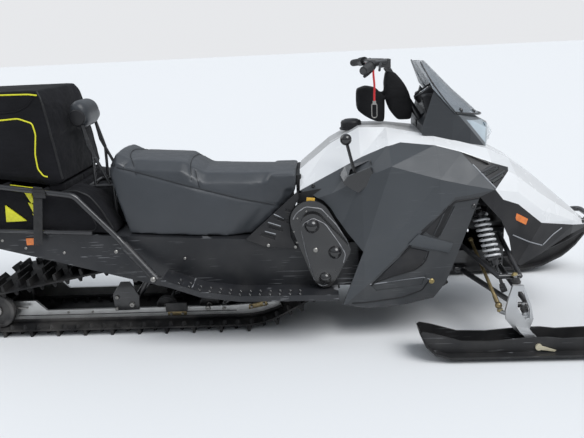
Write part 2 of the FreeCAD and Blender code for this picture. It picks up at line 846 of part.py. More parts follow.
def make_rear():
    # The snow flap, the lamp and the tow hitch behind the tunnel.
    rear = -overall_length / 2
    half = hitch_half_width
    high_z = hitch_low_z + hitch_plate + hitch_jaw
    plates = [box(hitch_pin_x - 20, tunnel_rear_x + 40, -half, half, z, z + hitch_plate)
              for z in (hitch_low_z, high_z)]
    under_z = tunnel_top(tunnel_rear_x + 4) - sheet - fit_gap
    plates.append(box(tunnel_rear_x, tunnel_rear_x + 4, -half, half, hitch_low_z, under_z))
    pin = Part.makeCylinder(hitch_pin_radius, 80, Vector(hitch_pin_x, 0, hitch_low_z - 20))
    hitch = fused(plates).cut(pin)
    top_z = tunnel_top(tunnel_rear_x) - 4
    sheet_x = tunnel_rear_x - 6
    flap_half = tunnel_half_width - 23
    flap = prism([(tunnel_rear_x, top_z), (sheet_x, top_z), (rear, flap_low_z), (rear + 6, flap_low_z)],
                 -flap_half, flap_half)
    flap = flap.cut(box(rear, tunnel_rear_x + 1, -half - 1, half + 1, hitch_low_z - 12, top_z + 10))
    lamp_foot_z = tunnel_top(tunnel_rear_x) + fit_gap
    lamp = box(sheet_x - 18, sheet_x, -110, 110, lamp_foot_z, lamp_foot_z + 38).fuse(
        box(sheet_x, tunnel_rear_x + 30, -60, 60, lamp_foot_z, lamp_foot_z + 18))
    return flap, lamp, hitch


ARM_ROWS = (
    # name, ball joint, inner x and z of the rear leg, of the front leg, tube radius,
    # then x of the rear and front knees from the ball joint, and their rise
    ("upper_arm", kingpin_top, 822.0, 396.0, 1015.0, 432.0, 11.0, -65.0, 24.0, 8.0),
    ("lower_arm", kingpin_bottom, 851.0, 254.0, 1010.0, 292.0, 12.0, -26.0, 24.0, 4.0),
)


def kingpin_axis():
    return (kingpin_top - kingpin_bottom).normalize()


def make_arms():
    # Each arm is two tubes from the frame, joined by a cross tube that holds the ball joint.
    axis = kingpin_axis()
    result = {}
    for name, outer, xr, zr, xf, zf, radius, back, ahead, rise in ARM_ROWS:
        y = frame_half + radius + 5 + fit_gap
        knee_rear = outer + Vector(back, -30, rise)
        knee_front = outer + Vector(ahead, -30, rise)
        parts = [rod(Vector(xr, y, zr), knee_rear, radius), ball(knee_rear, radius)]
        parts += [rod(Vector(xf, y, zf), knee_front, radius), ball(knee_front, radius)]
        parts.append(rod(knee_rear, knee_front, radius))
        parts.append(rod(Vector(xr - 24, y, zr), Vector(xr + 24, y, zr), radius + 5))
        parts.append(rod(Vector(xf - 24, y, zf), Vector(xf + 24, y, zf), radius + 5))
        parts.append(rod(outer - axis * 14, outer + axis * 14, joint_radius))
        parts.append(rod(outer, outer + Vector(0, -30, rise), 9))
        pin = rod(outer - axis * 60, outer + axis * 60, pin_radius + pin_play)
        result[name] = fused(parts).cut(pin)
    return result


def make_spindle():
    # A cast upright outboard of the arms, a lug under each ball joint, and the leg to the ski.
    axis = kingpin_axis()
    plate = [(1001, 292), (1046, 290), (1078, 204), (1092, 142), (1076, 92), (1066, 70), (1040, 70),
             (1010, 100), (979, 138), (975, 180), (986, 234)]
    window = [(1022, 266), (1044, 268), (1074, 186), (1076, 148), (1057, 140), (1024, 190)]
    y0 = upright_y
    y1 = upright_y + upright_thickness
    parts = [prism(plate, y0, y1).cut(prism(window, y0 - 1, y1 + 1))]
    parts.append(prism([(1020, 110), (1078, 96), (ski_pivot_x + 14, ski_pivot_z),
                        (ski_pivot_x - 16, ski_pivot_z)], y0, ski_stance_half + leg_half_width))
    parts.append(disc(ski_pivot_x, ski_stance_half - leg_half_width, ski_stance_half + leg_half_width,
                      ski_pivot_z, leg_radius))
    for outer in (kingpin_top, kingpin_bottom):
        seat_at = outer - axis * (14 + fork_gap)
        foot = seat_at - axis * 14
        parts.append(rod(seat_at, foot, joint_radius - 1))
        parts.append(box(outer.x - 12, outer.x + 14, foot.y, y0 + 4, foot.z - 4, foot.z + 5))
        parts.append(rod(foot, outer + axis * 24, pin_radius))
    arm_end = steer_ball - axis * (ball_radius + 11)
    parts.append(rod(Vector(990, y0 + 6, 160), arm_end, 9))
    parts.append(ball(arm_end, 9))
    parts.append(rod(arm_end, steer_ball + axis * 13, pin_radius))
    reach = leg_half_width + 60
    bore = disc(ski_pivot_x, ski_stance_half - reach, ski_stance_half + reach, ski_pivot_z,
                ski_bolt_radius + pin_play)
    return fused(parts).cut(bore)


SKI_SOLE = (
    # distance behind the tip, z of the sole's underside, from the tail forward
    (1098.0, 116.0), (1078.0, 72.0), (1042.0, 38.0), (980.0, 20.0), (375.0, 20.0), (280.0, 42.0),
    (180.0, 90.0), (105.0, 150.0), (48.0, 218.0),
)
SKI_RIB = (
    # distance behind the tip, z of the rib's upper edge, from the front back
    (70.0, 215.0), (150.0, 168.0), (260.0, 116.0), (380.0, 88.0), (520.0, 84.0), (580.0, 92.0),
    (660.0, 92.0), (810.0, 80.0), (930.0, 84.0), (1040.0, 118.0), (1088.0, 128.0),
)
SKI_PLAN = (
    # distance behind the tip, half width
    (1110.0, ski_half_width - 30.0), (1060.0, ski_half_width - 8.0), (950.0, ski_half_width),
    (330.0, ski_half_width), (150.0, ski_half_width - 10.0), (-10.0, ski_half_width - 46.0),
)


def from_tip(rows):
    return [(ski_tip_x - back, across) for back, across in rows]


def make_ski():
    under = from_tip(SKI_SOLE) + [(ski_tip_x, 292.0)]
    over = [(x - 4, z + ski_sole * 1.05) for x, z in under]
    y = ski_stance_half
    sole = prism(under + list(reversed(over)), y - ski_half_width, y + ski_half_width)
    plan = from_tip(SKI_PLAN)
    corners = [Vector(x, y - half, 0) for x, half in plan]
    corners += [Vector(x, y + half, 0) for x, half in reversed(plan)]
    cutter = Part.Face(Part.makePolygon(corners + corners[:1])).extrude(Vector(0, 0, 400))
    sole = sole.common(cutter)
    rib_line = [(x, z + 4) for x, z in from_tip(SKI_SOLE)] + from_tip(SKI_RIB)
    ribs = [prism(rib_line, y + side * rib_half - 4, y + side * rib_half + 4) for side in (RIGHT, LEFT)]
    keel = prism(from_tip(((970, 24), (380, 24), (410, 9), (930, 9))), y - 12, y + 12)
    ends = [Vector(ski_tip_x - back, y, runner_radius) for back in (910, 420)]
    runner = rod(ends[0], ends[1], runner_radius)
    bolt = disc(ski_pivot_x, y - rib_half - 10, y + rib_half + 10, ski_pivot_z, ski_bolt_radius)
    head = disc(ski_pivot_x, y + rib_half + 4, y + rib_half + 12, ski_pivot_z, 14)
    lever = prism([(ski_pivot_x - 4, ski_pivot_z - 9), (ski_pivot_x + 64, ski_pivot_z - 20),
                   (ski_pivot_x + 70, ski_pivot_z - 14), (ski_pivot_x + 6, ski_pivot_z + 8)],
                  y + rib_half + 8, y + rib_half + 12)
    holes = [runner, bolt]
    ski = fused([sole, keel] + ribs).cut(Part.makeCompound(holes))
    hardware = fused([bolt, head, lever])
    return ski, runner, hardware


def make_tie_rod():
    # A rod with a ball joint at the steering arm; it runs up and inward to the steering rack.
    inner = tie_rod_inner
    along = (inner - steer_ball).normalize()
    parts = [ball(steer_ball, ball_radius), ball(inner, 12)]
    parts.append(rod(steer_ball, inner, tie_rod_radius))
    parts.append(rod(steer_ball + along * 12, steer_ball + along * 50, tie_rod_radius + 2))
    axis = kingpin_axis()
    pin = rod(steer_ball - axis * 30, steer_ball + axis * (13 + pin_play), pin_radius + pin_play)
    return fused(parts).cut(pin)


# The left half of the bar: its outer end, its knee and its riser by the clamp.
BAR_END = Vector(405, grip_half_span + grip_length / 2 + 10.5, 1178)
BAR_KNEE = Vector(470, 170, 1196)
BAR_RISER = Vector(526, 70, 1196)


def make_handlebar():
    axis = (post_top - post_foot).normalize()
    post = rod(post_foot, post_top - axis * 10, post_radius)
    left = [BAR_RISER, BAR_KNEE, BAR_END]
    right = [Vector(p.x, -p.y, p.z) for p in reversed(left)]
    bar = bent_tube(right + left, bar_radius, 40.0)
    clamp = box(500, 552, -48, 48, 1170, 1206)
    return fused([post, clamp, bar])


def bar_point(y):
    # A point on the straight outer stretch of the bar, and its direction.
    along = (BAR_END - BAR_KNEE).normalize()
    return BAR_KNEE + along * ((y - BAR_KNEE.y) / along.y), along


def make_grip():
    start, along = bar_point(grip_half_span - grip_length / 2)
    flange = rod(start + along * grip_length, start + along * (grip_length + 6), grip_radius + 3)
    return rod(start, start + along * grip_length, grip_radius).fuse(flange)


def make_control():
    # Switch block, perch and lever inboard of each grip.
    start, along = bar_point(grip_half_span - grip_length / 2 - 60)
    block = rod(start, start + along * 52, 21)
    perch = rod(start + along * 20, start + along * 20 + Vector(38, 4, 8), 8)
    lever_start = start + along * 20 + Vector(38, 4, 8)
    lever = rod(lever_start, lever_start + Vector(-14, 120, -22), 5)
    return fused([block, perch, lever])


def around_bar(shape, bar):
    # What is clamped round the bar is bored for it.
    return Part.makeCompound([on_side(shape, side).cut(bar) for name, side in SIDES])


MUFF_REAR = (
    # x, then half width, low z and high z of the lobe behind the post
    (398.0, 40.0, 985.0, 1080.0),
    (440.0, 60.0, 955.0, 1092.0),
    (490.0, 58.0, 930.0, 1080.0),
    (524.0, 44.0, 926.0, 1040.0),
)
MUFF_FRONT = (
    # z, then half width, rear x and front x of the lobe round the post
    (1150.0, 32.0, 530.0, 572.0),
    (1100.0, 46.0, 524.0, 612.0),
    (1040.0, 50.0, 532.0, 640.0),
    (980.0, 48.0, 548.0, 652.0),
    (932.0, 38.0, 584.0, 646.0),
)


def make_pouch():
    # The soft muff round the handlebar's post, two lobes joined by a band.
    rear = hull([[Vector(x, y, z) for y, z in ((-half, low), (half, low), (half, high), (-half, high))]
                 for x, half, low, high in MUFF_REAR])
    front = hull([[Vector(x, y, z) for x, y in ((back, -half), (back, half), (ahead, half), (ahead, -half))]
                  for z, half, back, ahead in MUFF_FRONT])
    band = box(480, 560, -20, 20, 1030, 1062)
    return rear.fuse(band).fuse(front).cut(rod(post_top, post_foot, post_radius + fit_gap))


TETHER_ROUTE = (
    # x, y aside from the band, z of the limp strap between its two ends
    (0.0, 0.0, 1150.0),
    (5.0, -3.0, 1105.0),
    (3.0, -5.0, 1065.0),
    (3.0, -5.0, tether_end_z),
)


def make_tether(bar):
    # The engine's stop tether: a band on the right of the bar, a limp strap and a wire snap hook.
    start, along = bar_point(tether_y)
    lug_z = start.z - tether_band - 8
    band = rod(start - along * 8, start + along * 8, tether_band)
    band = band.fuse(box(start.x - 6, start.x + 6, start.y - 6, start.y + 6, lug_z, start.z - 10)).cut(bar)
    top = Vector(start.x, start.y, lug_z)
    route = [top] + [Vector(top.x + x, top.y + y, z) for x, y, z in TETHER_ROUTE]
    strap = bent_tube(route, tether_radius, 60.0)
    end = route[-1]
    eye_z = end.z - 16
    eye = box(end.x - 7, end.x + 7, end.y - 5, end.y + 5, eye_z, end.z)
    loop = tight_loop(((end.x, clip_low_z + clip_radius + clip_wire, clip_radius),
                       (end.x, eye_z + 6 - clip_radius, clip_radius)))
    path = Part.Wire(loop)
    path.translate(Vector(0, end.y, 0))
    start_at = path.Edges[0].valueAt(path.Edges[0].FirstParameter)
    ring = Part.Wire(Part.Circle(start_at, Vector(0, 0, 1), clip_wire).toShape())
    hook = path.makePipeShell([ring], True, False)
    return [on_side(shape, RIGHT) for shape in (band, strap, hook.fuse(eye))]


def make_frame():
    # The box behind the arms: floor, two cheeks, end plates and the towers for the dampers.
    y = frame_half
    floor = frame_floor_z + 10
    parts = [box(tunnel_front_x, 1090, -y, y, frame_floor_z, floor)]
    parts.append(box(780, 788, -y, y, floor, 470))
    parts.append(box(1042, 1050, -y, y, floor, 470))
    for side in (RIGHT, LEFT):
        near, far = sorted((side * y, side * (y - 5)))
        parts.append(box(780, 1050, near, far, floor, 470))
        parts.append(box(892, 918, near, far, 460, 576))
    reach = shock_top.y - shock_eye - fit_gap
    parts.append(box(892, 918, -reach, reach, 550, 574))
    # A bearing round the foot of the steering post stands on two tubes.
    axis = (post_top - post_foot).normalize()
    for side in (RIGHT, LEFT):
        parts.append(rod(Vector(800, side * (y - 12), 462), post_foot + Vector(0, side * 20, 4), 10))
    parts.append(rod(post_foot - axis * 12, post_foot + axis * 22, bearing_radius))
    socket = rod(post_foot - axis * fit_gap, post_foot + axis * 60, post_radius + fit_gap)
    tie_rod_ways = box(tie_rod_inner.x - 52, tie_rod_inner.x + 56, -y - 1, y + 1,
                       tie_rod_inner.z - 52, tie_rod_inner.z + 52)
    return fused(parts).cut(socket).cut(tie_rod_ways)


POCKET = [(304, 738), (331, 767), (447, 810), (463, 771), (446, 719), (384, 659), (350, 678), (308, 715)]
POCKET_FACE = [
    (322, 722), (340, 744), (432, 778), (446, 752), (432, 712), (384, 672), (356, 688), (326, 708),
]
POCKET_MOUTH = [(336, 736), (352, 762), (436, 796), (446, 774)]


def make_gear_lever():
    # A moulded pocket on the side panel with the lever and its ball standing in it.
    inner = [Vector(x, 220, z) for x, z in POCKET]
    outer = [Vector(x, pocket_face_y, z) for x, z in POCKET_FACE]
    pocket = hull([inner, outer]).cut(body_solid(0, 0, 0))
    pocket = pocket.cut(prism(POCKET_MOUTH, 200, pocket_face_y - pocket_wall))
    foot = Vector(382, pocket_face_y - 34, 700)
    knob = Vector(337, 280, 891)
    lever = rod(foot, knob, lever_radius).cut(body_solid(0, 0, 0))
    return on_side(pocket.fuse(lever).fuse(ball(knob, knob_radius)), RIGHT)


FRONT_REFLECTOR = [(1045, 556), (1106, 522), (1098, 496), (1056, 518)]


def make_reflectors():
    front = prism(FRONT_REFLECTOR, 262, 304).cut(body_solid(0, 0, 0))
    rear = box(-1115, -1060, tunnel_half_width, tunnel_half_width + 5, 468, 500)
    return Part.makeCompound([front, rear])


BELLY = (
    # x, half width, z of the underside
    (384.0, 330.0, 158.0),
    (560.0, 322.0, 160.0),
    (700.0, 300.0, 188.0),
    (775.0, 290.0, frame_floor_z - belly_sheet - fit_gap),
)


def make_belly():
    rings = []
    for x, half, z in BELLY:
        top = z + belly_sheet
        rings.append([Vector(x, -half, z), Vector(x, half, z), Vector(x, half, top), Vector(x, -half, top)])
    return hull(rings)


def save_pair(name, shape):
    save(name, Part.makeCompound([on_side(shape, side) for label, side in SIDES]))


def save_all():
    save("track_belt", make_track())
    save("slide_rails", Part.makeCompound(make_rails()))
    save("rear_idlers", make_idlers())
    save("bogie_wheels", Part.makeCompound(make_bogies() + [make_carrier()]))
    save("drive_axle", make_drive())
    arms = [make_skid_arm(*row) for row in SKID_ARMS]
    save("skid_arms", Part.makeCompound(arms))
    across = Vector(0, 1, 0)
    save("skid_shock", make_shock(Vector(-47, 0, 315.5), Vector(-524.5, 0, 102), 20, 34, 14, across))
    save("tunnel", make_tunnel())
    arms = make_arms()
    ski, runner, hardware = make_ski()
    for name, side in SIDES:
        save("footboard_" + name, on_side(make_board(), side))
        save("spindle_" + name, on_side(make_spindle(), side))
        save("ski_" + name, on_side(ski, side))
        save("ski_hardware_" + name, on_side(Part.makeCompound([hardware, runner]), side))
        save("tie_rod_" + name, on_side(make_tie_rod(), side))
    save_pair("upper_arms", arms["upper_arm"])
    save_pair("lower_arms", arms["lower_arm"])
    save_pair("side_trims", make_trim())
    lengthwise = Vector(1, 0, 0)
    save_pair("front_shocks", make_shock(shock_top, shock_foot, 17, 36, shock_eye, lengthwise))
    skins = make_skin_parts()
    for label in ("side_vent", "lower_insert"):
        save(label + "s", Part.makeCompound([skins.pop(label + "_" + name) for name, side in SIDES]))
    for name, shape in skins.items():
        save(name, shape)
    save("seat", make_seat())
    save("windshield", make_windshield())
    save("dash_pod", make_pod())
    save("headlight", make_headlight())
    save("chaincase_cover", make_chaincase())
    rack = make_rack()
    save("rack", rack)
    save("rack_feet", make_sleeves(rack))
    upper, lower = make_bags()
    save("bag_upper", upper)
    save("bag_lower", lower)
    save_pair("bag_straps", make_strap())
    save("backrest_pad", make_backrest_pad())
    save("backrest_frame", make_backrest_frame())
    flap, lamp, hitch = make_rear()
    save("snow_flap", flap)
    save("tail_lamp", lamp)
    save("tow_hitch", hitch)
    bar = make_handlebar()
    save("handlebar", bar)
    save("grips", around_bar(make_grip(), bar))
    band, strap, clip = make_tether(bar)
    save("bar_controls", Part.makeCompound([around_bar(make_control(), bar), band]))
    save("tether_strap", strap)
    save("tether_clip", clip)
    save("post_muff", make_pouch())
    save("front_bumper", front_bumper(bumper_radius))
    save("front_frame", make_frame())
    save("belly_pan", make_belly())
    save("gear_lever", make_gear_lever())
    save_pair("reflectors", make_reflectors())
    save("engine", box(430, 760, -220, 220, frame_floor_z + 10 + fit_gap, 600))


save_all()
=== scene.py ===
import json
import math

import bmesh
import bpy
from mathutils import Matrix, Vector
from mathutils.kdtree import KDTree

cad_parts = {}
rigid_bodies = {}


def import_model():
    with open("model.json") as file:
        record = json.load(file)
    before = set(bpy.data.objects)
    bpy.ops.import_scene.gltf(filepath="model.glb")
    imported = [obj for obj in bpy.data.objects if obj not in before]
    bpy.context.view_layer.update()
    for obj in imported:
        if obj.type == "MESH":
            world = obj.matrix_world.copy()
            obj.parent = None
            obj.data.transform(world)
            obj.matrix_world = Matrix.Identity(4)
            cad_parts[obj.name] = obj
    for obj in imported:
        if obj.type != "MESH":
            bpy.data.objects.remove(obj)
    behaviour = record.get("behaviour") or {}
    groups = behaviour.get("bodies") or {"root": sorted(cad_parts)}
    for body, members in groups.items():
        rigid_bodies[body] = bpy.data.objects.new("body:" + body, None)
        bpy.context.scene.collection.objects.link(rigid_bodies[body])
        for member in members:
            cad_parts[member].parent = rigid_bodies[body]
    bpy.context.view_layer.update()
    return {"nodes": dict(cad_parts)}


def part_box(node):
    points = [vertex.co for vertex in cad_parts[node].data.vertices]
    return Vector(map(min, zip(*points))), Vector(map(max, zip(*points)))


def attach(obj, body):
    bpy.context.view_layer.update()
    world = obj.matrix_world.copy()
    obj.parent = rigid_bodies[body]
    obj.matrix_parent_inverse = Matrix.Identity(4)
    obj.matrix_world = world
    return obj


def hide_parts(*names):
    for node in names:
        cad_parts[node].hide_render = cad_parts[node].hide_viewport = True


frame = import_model()

# The floor and backdrop are plain and pale. The light is an overcast day: a bright sky, a darker
# horizon and two wide soft suns, so that black rubber and charcoal plastic show their form.
FLOOR_COLOUR = (0.78, 0.79, 0.8, 1)
SKY_COLOUR = (0.84, 0.91, 1.0, 1)
HORIZON_COLOUR = (0.3, 0.3, 0.3, 1)
SKY_STRENGTH = 0.62
BACKDROP_COLOUR = (0.8, 0.81, 0.83, 1)

scene = bpy.context.scene


def put(name, data):
    """A new object in the scene."""
    obj = bpy.data.objects.new(name, data)
    scene.collection.objects.link(obj)
    return obj


scene.view_settings.view_transform = "Standard"
world = bpy.data.worlds.new("overcast")
scene.world = world
world.use_nodes = True
nodes, links = world.node_tree.nodes, world.node_tree.links
nodes.clear()
out = nodes.new("ShaderNodeOutputWorld")
place = nodes.new("ShaderNodeTexCoord")
split = nodes.new("ShaderNodeSeparateXYZ")
links.new(place.outputs["Generated"], split.inputs[0])
ramp = nodes.new("ShaderNodeValToRGB")
ramp.color_ramp.elements[0].position = 0.05
ramp.color_ramp.elements[0].color = HORIZON_COLOUR
ramp.color_ramp.elements[1].position = 0.55
ramp.color_ramp.elements[1].color = SKY_COLOUR
links.new(split.outputs["Z"], ramp.inputs[0])
sky = nodes.new("ShaderNodeBackground")
sky.inputs["Strength"].default_value = SKY_STRENGTH
links.new(ramp.outputs[0], sky.inputs["Color"])
backdrop = nodes.new("ShaderNodeBackground")
backdrop.inputs["Color"].default_value = BACKDROP_COLOUR
ray = nodes.new("ShaderNodeLightPath")
mix = nodes.new("ShaderNodeMixShader")
links.new(ray.outputs["Is Camera Ray"], mix.inputs[0])
links.new(sky.outputs[0], mix.inputs[1])
links.new(backdrop.outputs[0], mix.inputs[2])
links.new(mix.outputs[0], out.inputs[0])

for label, toward, spread, strength in (
        # name, direction that it stands in, angle across, strength
        ("day", (0.8, -0.75, 1.5), 40.0, 2.1),
        ("day_behind", (-1.2, 0.6, 0.9), 50.0, 0.5)):
    lamp = put(label, bpy.data.lights.new(label, "SUN"))
    lamp.data.angle = math.radians(spread)
    lamp.data.energy = strength
    lamp.rotation_euler = Vector(toward).to_track_quat("Z", "Y").to_euler()

# The camera stands at the rider's right, where the photograph was taken from, a little tilted.
EYE = Vector((0.2425, -3.0264, 1.3105))
FOCAL_PIXELS, WIDE_PIXELS = 650.0, 584.0
YAW, DOWN, ROLL = math.radians(-3.12), math.radians(15.44), math.radians(-2.78)
ahead = Vector((math.sin(YAW) * math.cos(DOWN), math.cos(YAW) * math.cos(DOWN), -math.sin(DOWN)))
level = Vector((math.cos(YAW), -math.sin(YAW), 0.0))
upward = level.cross(ahead)
right_hand = level * math.cos(ROLL) + upward * math.sin(ROLL)
over_head = upward * math.cos(ROLL) - level * math.sin(ROLL)
camera = put("camera", bpy.data.cameras.new("camera"))
camera.data.sensor_width = 36.0
camera.data.lens = camera.data.sensor_width * FOCAL_PIXELS / WIDE_PIXELS
camera.matrix_world = Matrix(((right_hand.x, over_head.x, -ahead.x, EYE.x),
    (right_hand.y, over_head.y, -ahead.y, EYE.y), (right_hand.z, over_head.z, -ahead.z, EYE.z), (0, 0, 0, 1)))
scene.camera = camera

# One level sheet is the floor.
bm = bmesh.new()
bmesh.ops.create_grid(bm, x_segments=1, y_segments=1, size=60.0)
floor_mesh = bpy.data.meshes.new("floor")
bm.to_mesh(floor_mesh)
bm.free()
floor = put("floor", floor_mesh)
floor_look = bpy.data.materials.new("floor")
floor_look.use_nodes = True
for socket, value in (("Base Color", FLOOR_COLOUR), ("Roughness", 0.95), ("Specular IOR Level", 0.1)):
    floor_look.node_tree.nodes["Principled BSDF"].inputs[socket].default_value = value
floor.data.materials.append(floor_look)


# The stop tether hangs from a band on the right of the bar: a limp red webbing strap with a wire
# snap hook on its end. It is the only free cord, so it is made first.
SIDES = ((-1, "right"), (1, "left"))
DUST_COLOUR = (0.36, 0.34, 0.32, 1)
MARK_COLOUR = (0.45, 0.46, 0.48, 1)


def finish(name, colour, rough, tone=0.1, patch=3.0, metal=0.0, coat=0.0, sheen=0.0, grain=0.0,
        grain_size=900.0, hide=0.0, weave=0.0, folds=0.0, marks=0.0, dust=0.0, shine=0.5):
    """A procedural finish for one material slot, mottled by tone over patches of about 1 / patch m."""
    look = bpy.data.materials.new(name)
    look.use_nodes = True
    nodes, links = look.node_tree.nodes, look.node_tree.links
    shader = nodes["Principled BSDF"]
    shader.inputs["Metallic"].default_value = metal
    shader.inputs["Coat Weight"].default_value = coat
    shader.inputs["Coat Roughness"].default_value = 0.12
    shader.inputs["Sheen Weight"].default_value = sheen
    shader.inputs["Specular IOR Level"].default_value = shine
    place = nodes.new("ShaderNodeTexCoord")

    def laid_by(texture, size, stretch=(1, 1, 1), turn=(0, 0, 0)):
        lay = nodes.new("ShaderNodeMapping")
        lay.inputs["Scale"].default_value = stretch
        lay.inputs["Rotation"].default_value = turn
        texture.inputs["Scale"].default_value = size
        links.new(place.outputs["Object"], lay.inputs["Vector"])
        links.new(lay.outputs[0], texture.inputs["Vector"])
        return texture

    def speckle(size, detail=3.0, stretch=(1, 1, 1), turn=(0, 0, 0)):
        cloud = laid_by(nodes.new("ShaderNodeTexNoise"), size, stretch, turn)
        cloud.inputs["Detail"].default_value = detail
        return cloud.outputs["Fac"]

    def between(value, low, high):
        step = nodes.new("ShaderNodeMapRange")
        step.inputs["From Min"].default_value = low
        step.inputs["From Max"].default_value = high
        links.new(value, step.inputs["Value"])
        return step.outputs["Result"]

    def maths(kind, a, b):
        node = nodes.new("ShaderNodeMath")
        node.operation = kind
        for socket, value in zip(node.inputs, (a, b)):
            if isinstance(value, (int, float)):
                socket.default_value = value
            else:
                links.new(value, socket)
        return node.outputs[0]

    def blend(amount, under, over):
        node = nodes.new("ShaderNodeMix")
        node.data_type = "RGBA"
        for index, value in ((0, amount), (6, under), (7, over)):
            if isinstance(value, (tuple, int, float)):
                node.inputs[index].default_value = value
            else:
                links.new(value, node.inputs[index])
        return node.outputs[2]

    dark = tuple(c * (1 - tone) for c in colour) + (1,)
    light = tuple(min(1.0, c * (1 + tone)) for c in colour) + (1,)
    paint = blend(between(speckle(patch, 5.0), 0.35, 0.65), dark, light)
    rougher = between(speckle(patch * 4, 4.0), 0.3, 0.7)
    roughness = maths("ADD", maths("MULTIPLY", rougher, 0.1), rough - 0.05)
    if dust > 0:
        # Dried salt and dust lie thicker low down.
        height = nodes.new("ShaderNodeSeparateXYZ")
        links.new(place.outputs["Object"], height.inputs[0])
        low = between(height.outputs["Z"], 0.75, 0.1)
        haze = maths("MULTIPLY", maths("MULTIPLY", low, between(speckle(9.0, 8.0), 0.4, 0.75)), dust)
        paint = blend(haze, paint, DUST_COLOUR)
        roughness = maths("ADD", roughness, maths("MULTIPLY", haze, 0.3))
    if marks > 0:
        # Short scratches run in a few directions, in patches.
        scored = None
        for turn, size in ((0.25, 5.0), (-0.5, 7.0), (1.1, 6.0), (-1.25, 4.0)):
            streak = between(speckle(size, 2.0, (1.2, 1.2, 30.0), (0, turn, 0)), 0.69, 0.72)
            scored = streak if scored is None else maths("MAXIMUM", scored, streak)
        worn = maths("MULTIPLY", maths("MULTIPLY", scored, between(speckle(2.6, 4.0), 0.42, 0.6)), marks)
        paint = blend(worn, paint, MARK_COLOUR)
        roughness = maths("ADD", roughness, maths("MULTIPLY", worn, 0.2))
    links.new(paint, shader.inputs["Base Color"])
    links.new(roughness, shader.inputs["Roughness"])
    relief = []
    if grain > 0:
        relief.append((speckle(grain_size, 2.0), grain, 0.0006))
    if hide > 0:
        # The pebbles of pressed vinyl are small cells with rounded tops.
        cell = laid_by(nodes.new("ShaderNodeTexVoronoi"), 420.0)
        cell.feature = "SMOOTH_F1"
        relief.append((maths("MULTIPLY", cell.outputs["Distance"], -1.0), hide, 0.001))
    if weave > 0:
        # Warp and weft are two crossed sets of fine ribs.
        threads = None
        for way in ("X", "Y", "Z"):
            ribs = laid_by(nodes.new("ShaderNodeTexWave"), 55.0)
            ribs.bands_direction = way
            ribs.inputs["Distortion"].default_value = 0.4
            threads = ribs.outputs["Fac"] if threads is None else maths("MULTIPLY", threads,
                ribs.outputs["Fac"])
        relief.append((threads, weave, 0.0012))
    if folds > 0:
        relief.append((speckle(11.0, 3.0, (1.0, 1.0, 1.6), (0.2, 0.5, 0.1)), folds, 0.03))
    last = None
    for height, strength, distance in relief:
        bump = nodes.new("ShaderNodeBump")
        bump.inputs["Strength"].default_value = strength
        bump.inputs["Distance"].default_value = distance
        links.new(height, bump.inputs["Height"])
        if last is not None:
            links.new(last, bump.inputs["Normal"])
        last = bump.outputs[0]
    if last is not None:
        links.new(last, shader.inputs["Normal"])
    return look


def wear(look, *names):
    """Nodes of the frame that keep their own mesh."""
    for name in names:
        materials = frame["nodes"][name].data.materials
        materials.clear()
        materials.append(look)


def rope(name, route, radius, roundness, steps):
    """A round curve on a smooth line."""
    curve = bpy.data.curves.new(name, "CURVE")
    curve.dimensions = "3D"
    curve.bevel_depth = radius
    curve.bevel_resolution = roundness
    curve.use_fill_caps = True
    line = curve.splines.new("NURBS")
    line.points.add(len(route) - 1)
    for point, spot in zip(line.points, route):
        point.co = (*spot, 1)
    line.order_u = 3
    line.use_endpoint_u = True
    line.resolution_u = steps
    return bpy.data.objects.new(name, curve)


tether_red = finish("tether_webbing", (0.62, 0.02, 0.025), 0.62, tone=0.12, patch=60.0,
    weave=0.6, sheen=0.15)
zinc = finish("zinc_plate", (0.36, 0.35, 0.33), 0.34, tone=0.12, patch=14.0, metal=0.9,
    grain=0.1, dust=0.15)
TETHER_ROUTE = ((0.4625, -0.2, 1.1709), (0.4625, -0.2, 1.15), (0.4675, -0.197, 1.105),
    (0.4655, -0.195, 1.065), (0.4655, -0.195, 1.04))
TETHER_WIDTH = 0.009
tether = rope("tether", TETHER_ROUTE, TETHER_WIDTH / 2, 4, 12)
scene.collection.objects.link(tether)
tether.data.materials.append(tether_red)
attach(tether, "handlebar")
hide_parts("tether_strap")
wear(zinc, "tether_clip")


# The tunnel is a bent sheet of black painted aluminium over the track, scratched by boots and
# ice. The two footboards are riveted along its sides, and screws with wide heads hold what is inside.
def points_of(result):
    return [v for v in result["geom"] if isinstance(v, bmesh.types.BMVert)]


def piece(name, bm, look, body="chassis", smooth=0.6, replaces=(), mirrored=False):
    """One finished object; mirrored adds the same mesh on the other side."""
    if mirrored:
        twin = bmesh.ops.duplicate(bm, geom=bm.verts[:] + bm.edges[:] + bm.faces[:])
        bmesh.ops.scale(bm, vec=(1, -1, 1), verts=points_of(twin))
    bmesh.ops.recalc_face_normals(bm, faces=bm.faces)
    mesh = bpy.data.meshes.new(name)
    bm.to_mesh(mesh)
    bm.free()
    obj = put(name, mesh)
    mesh.shade_smooth()
    mesh.set_sharp_from_angle(angle=smooth)
    mesh.materials.append(look)
    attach(obj, body)
    if replaces:
        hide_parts(*replaces)
    return obj


def gather(parts):
    """Several meshes as one."""
    whole = bmesh.new()
    for part in parts:
        mesh = bpy.data.meshes.new("part")
        part.to_mesh(mesh)
        part.free()
        whole.from_mesh(mesh)
        bpy.data.meshes.remove(mesh)
    return whole


def aimed(foot, way):
    """Where a part drawn upright from nought lies when it stands on foot along a line."""
    return Matrix.Translation(foot) @ Vector(way).to_track_quat("Z", "Y").to_matrix().to_4x4()


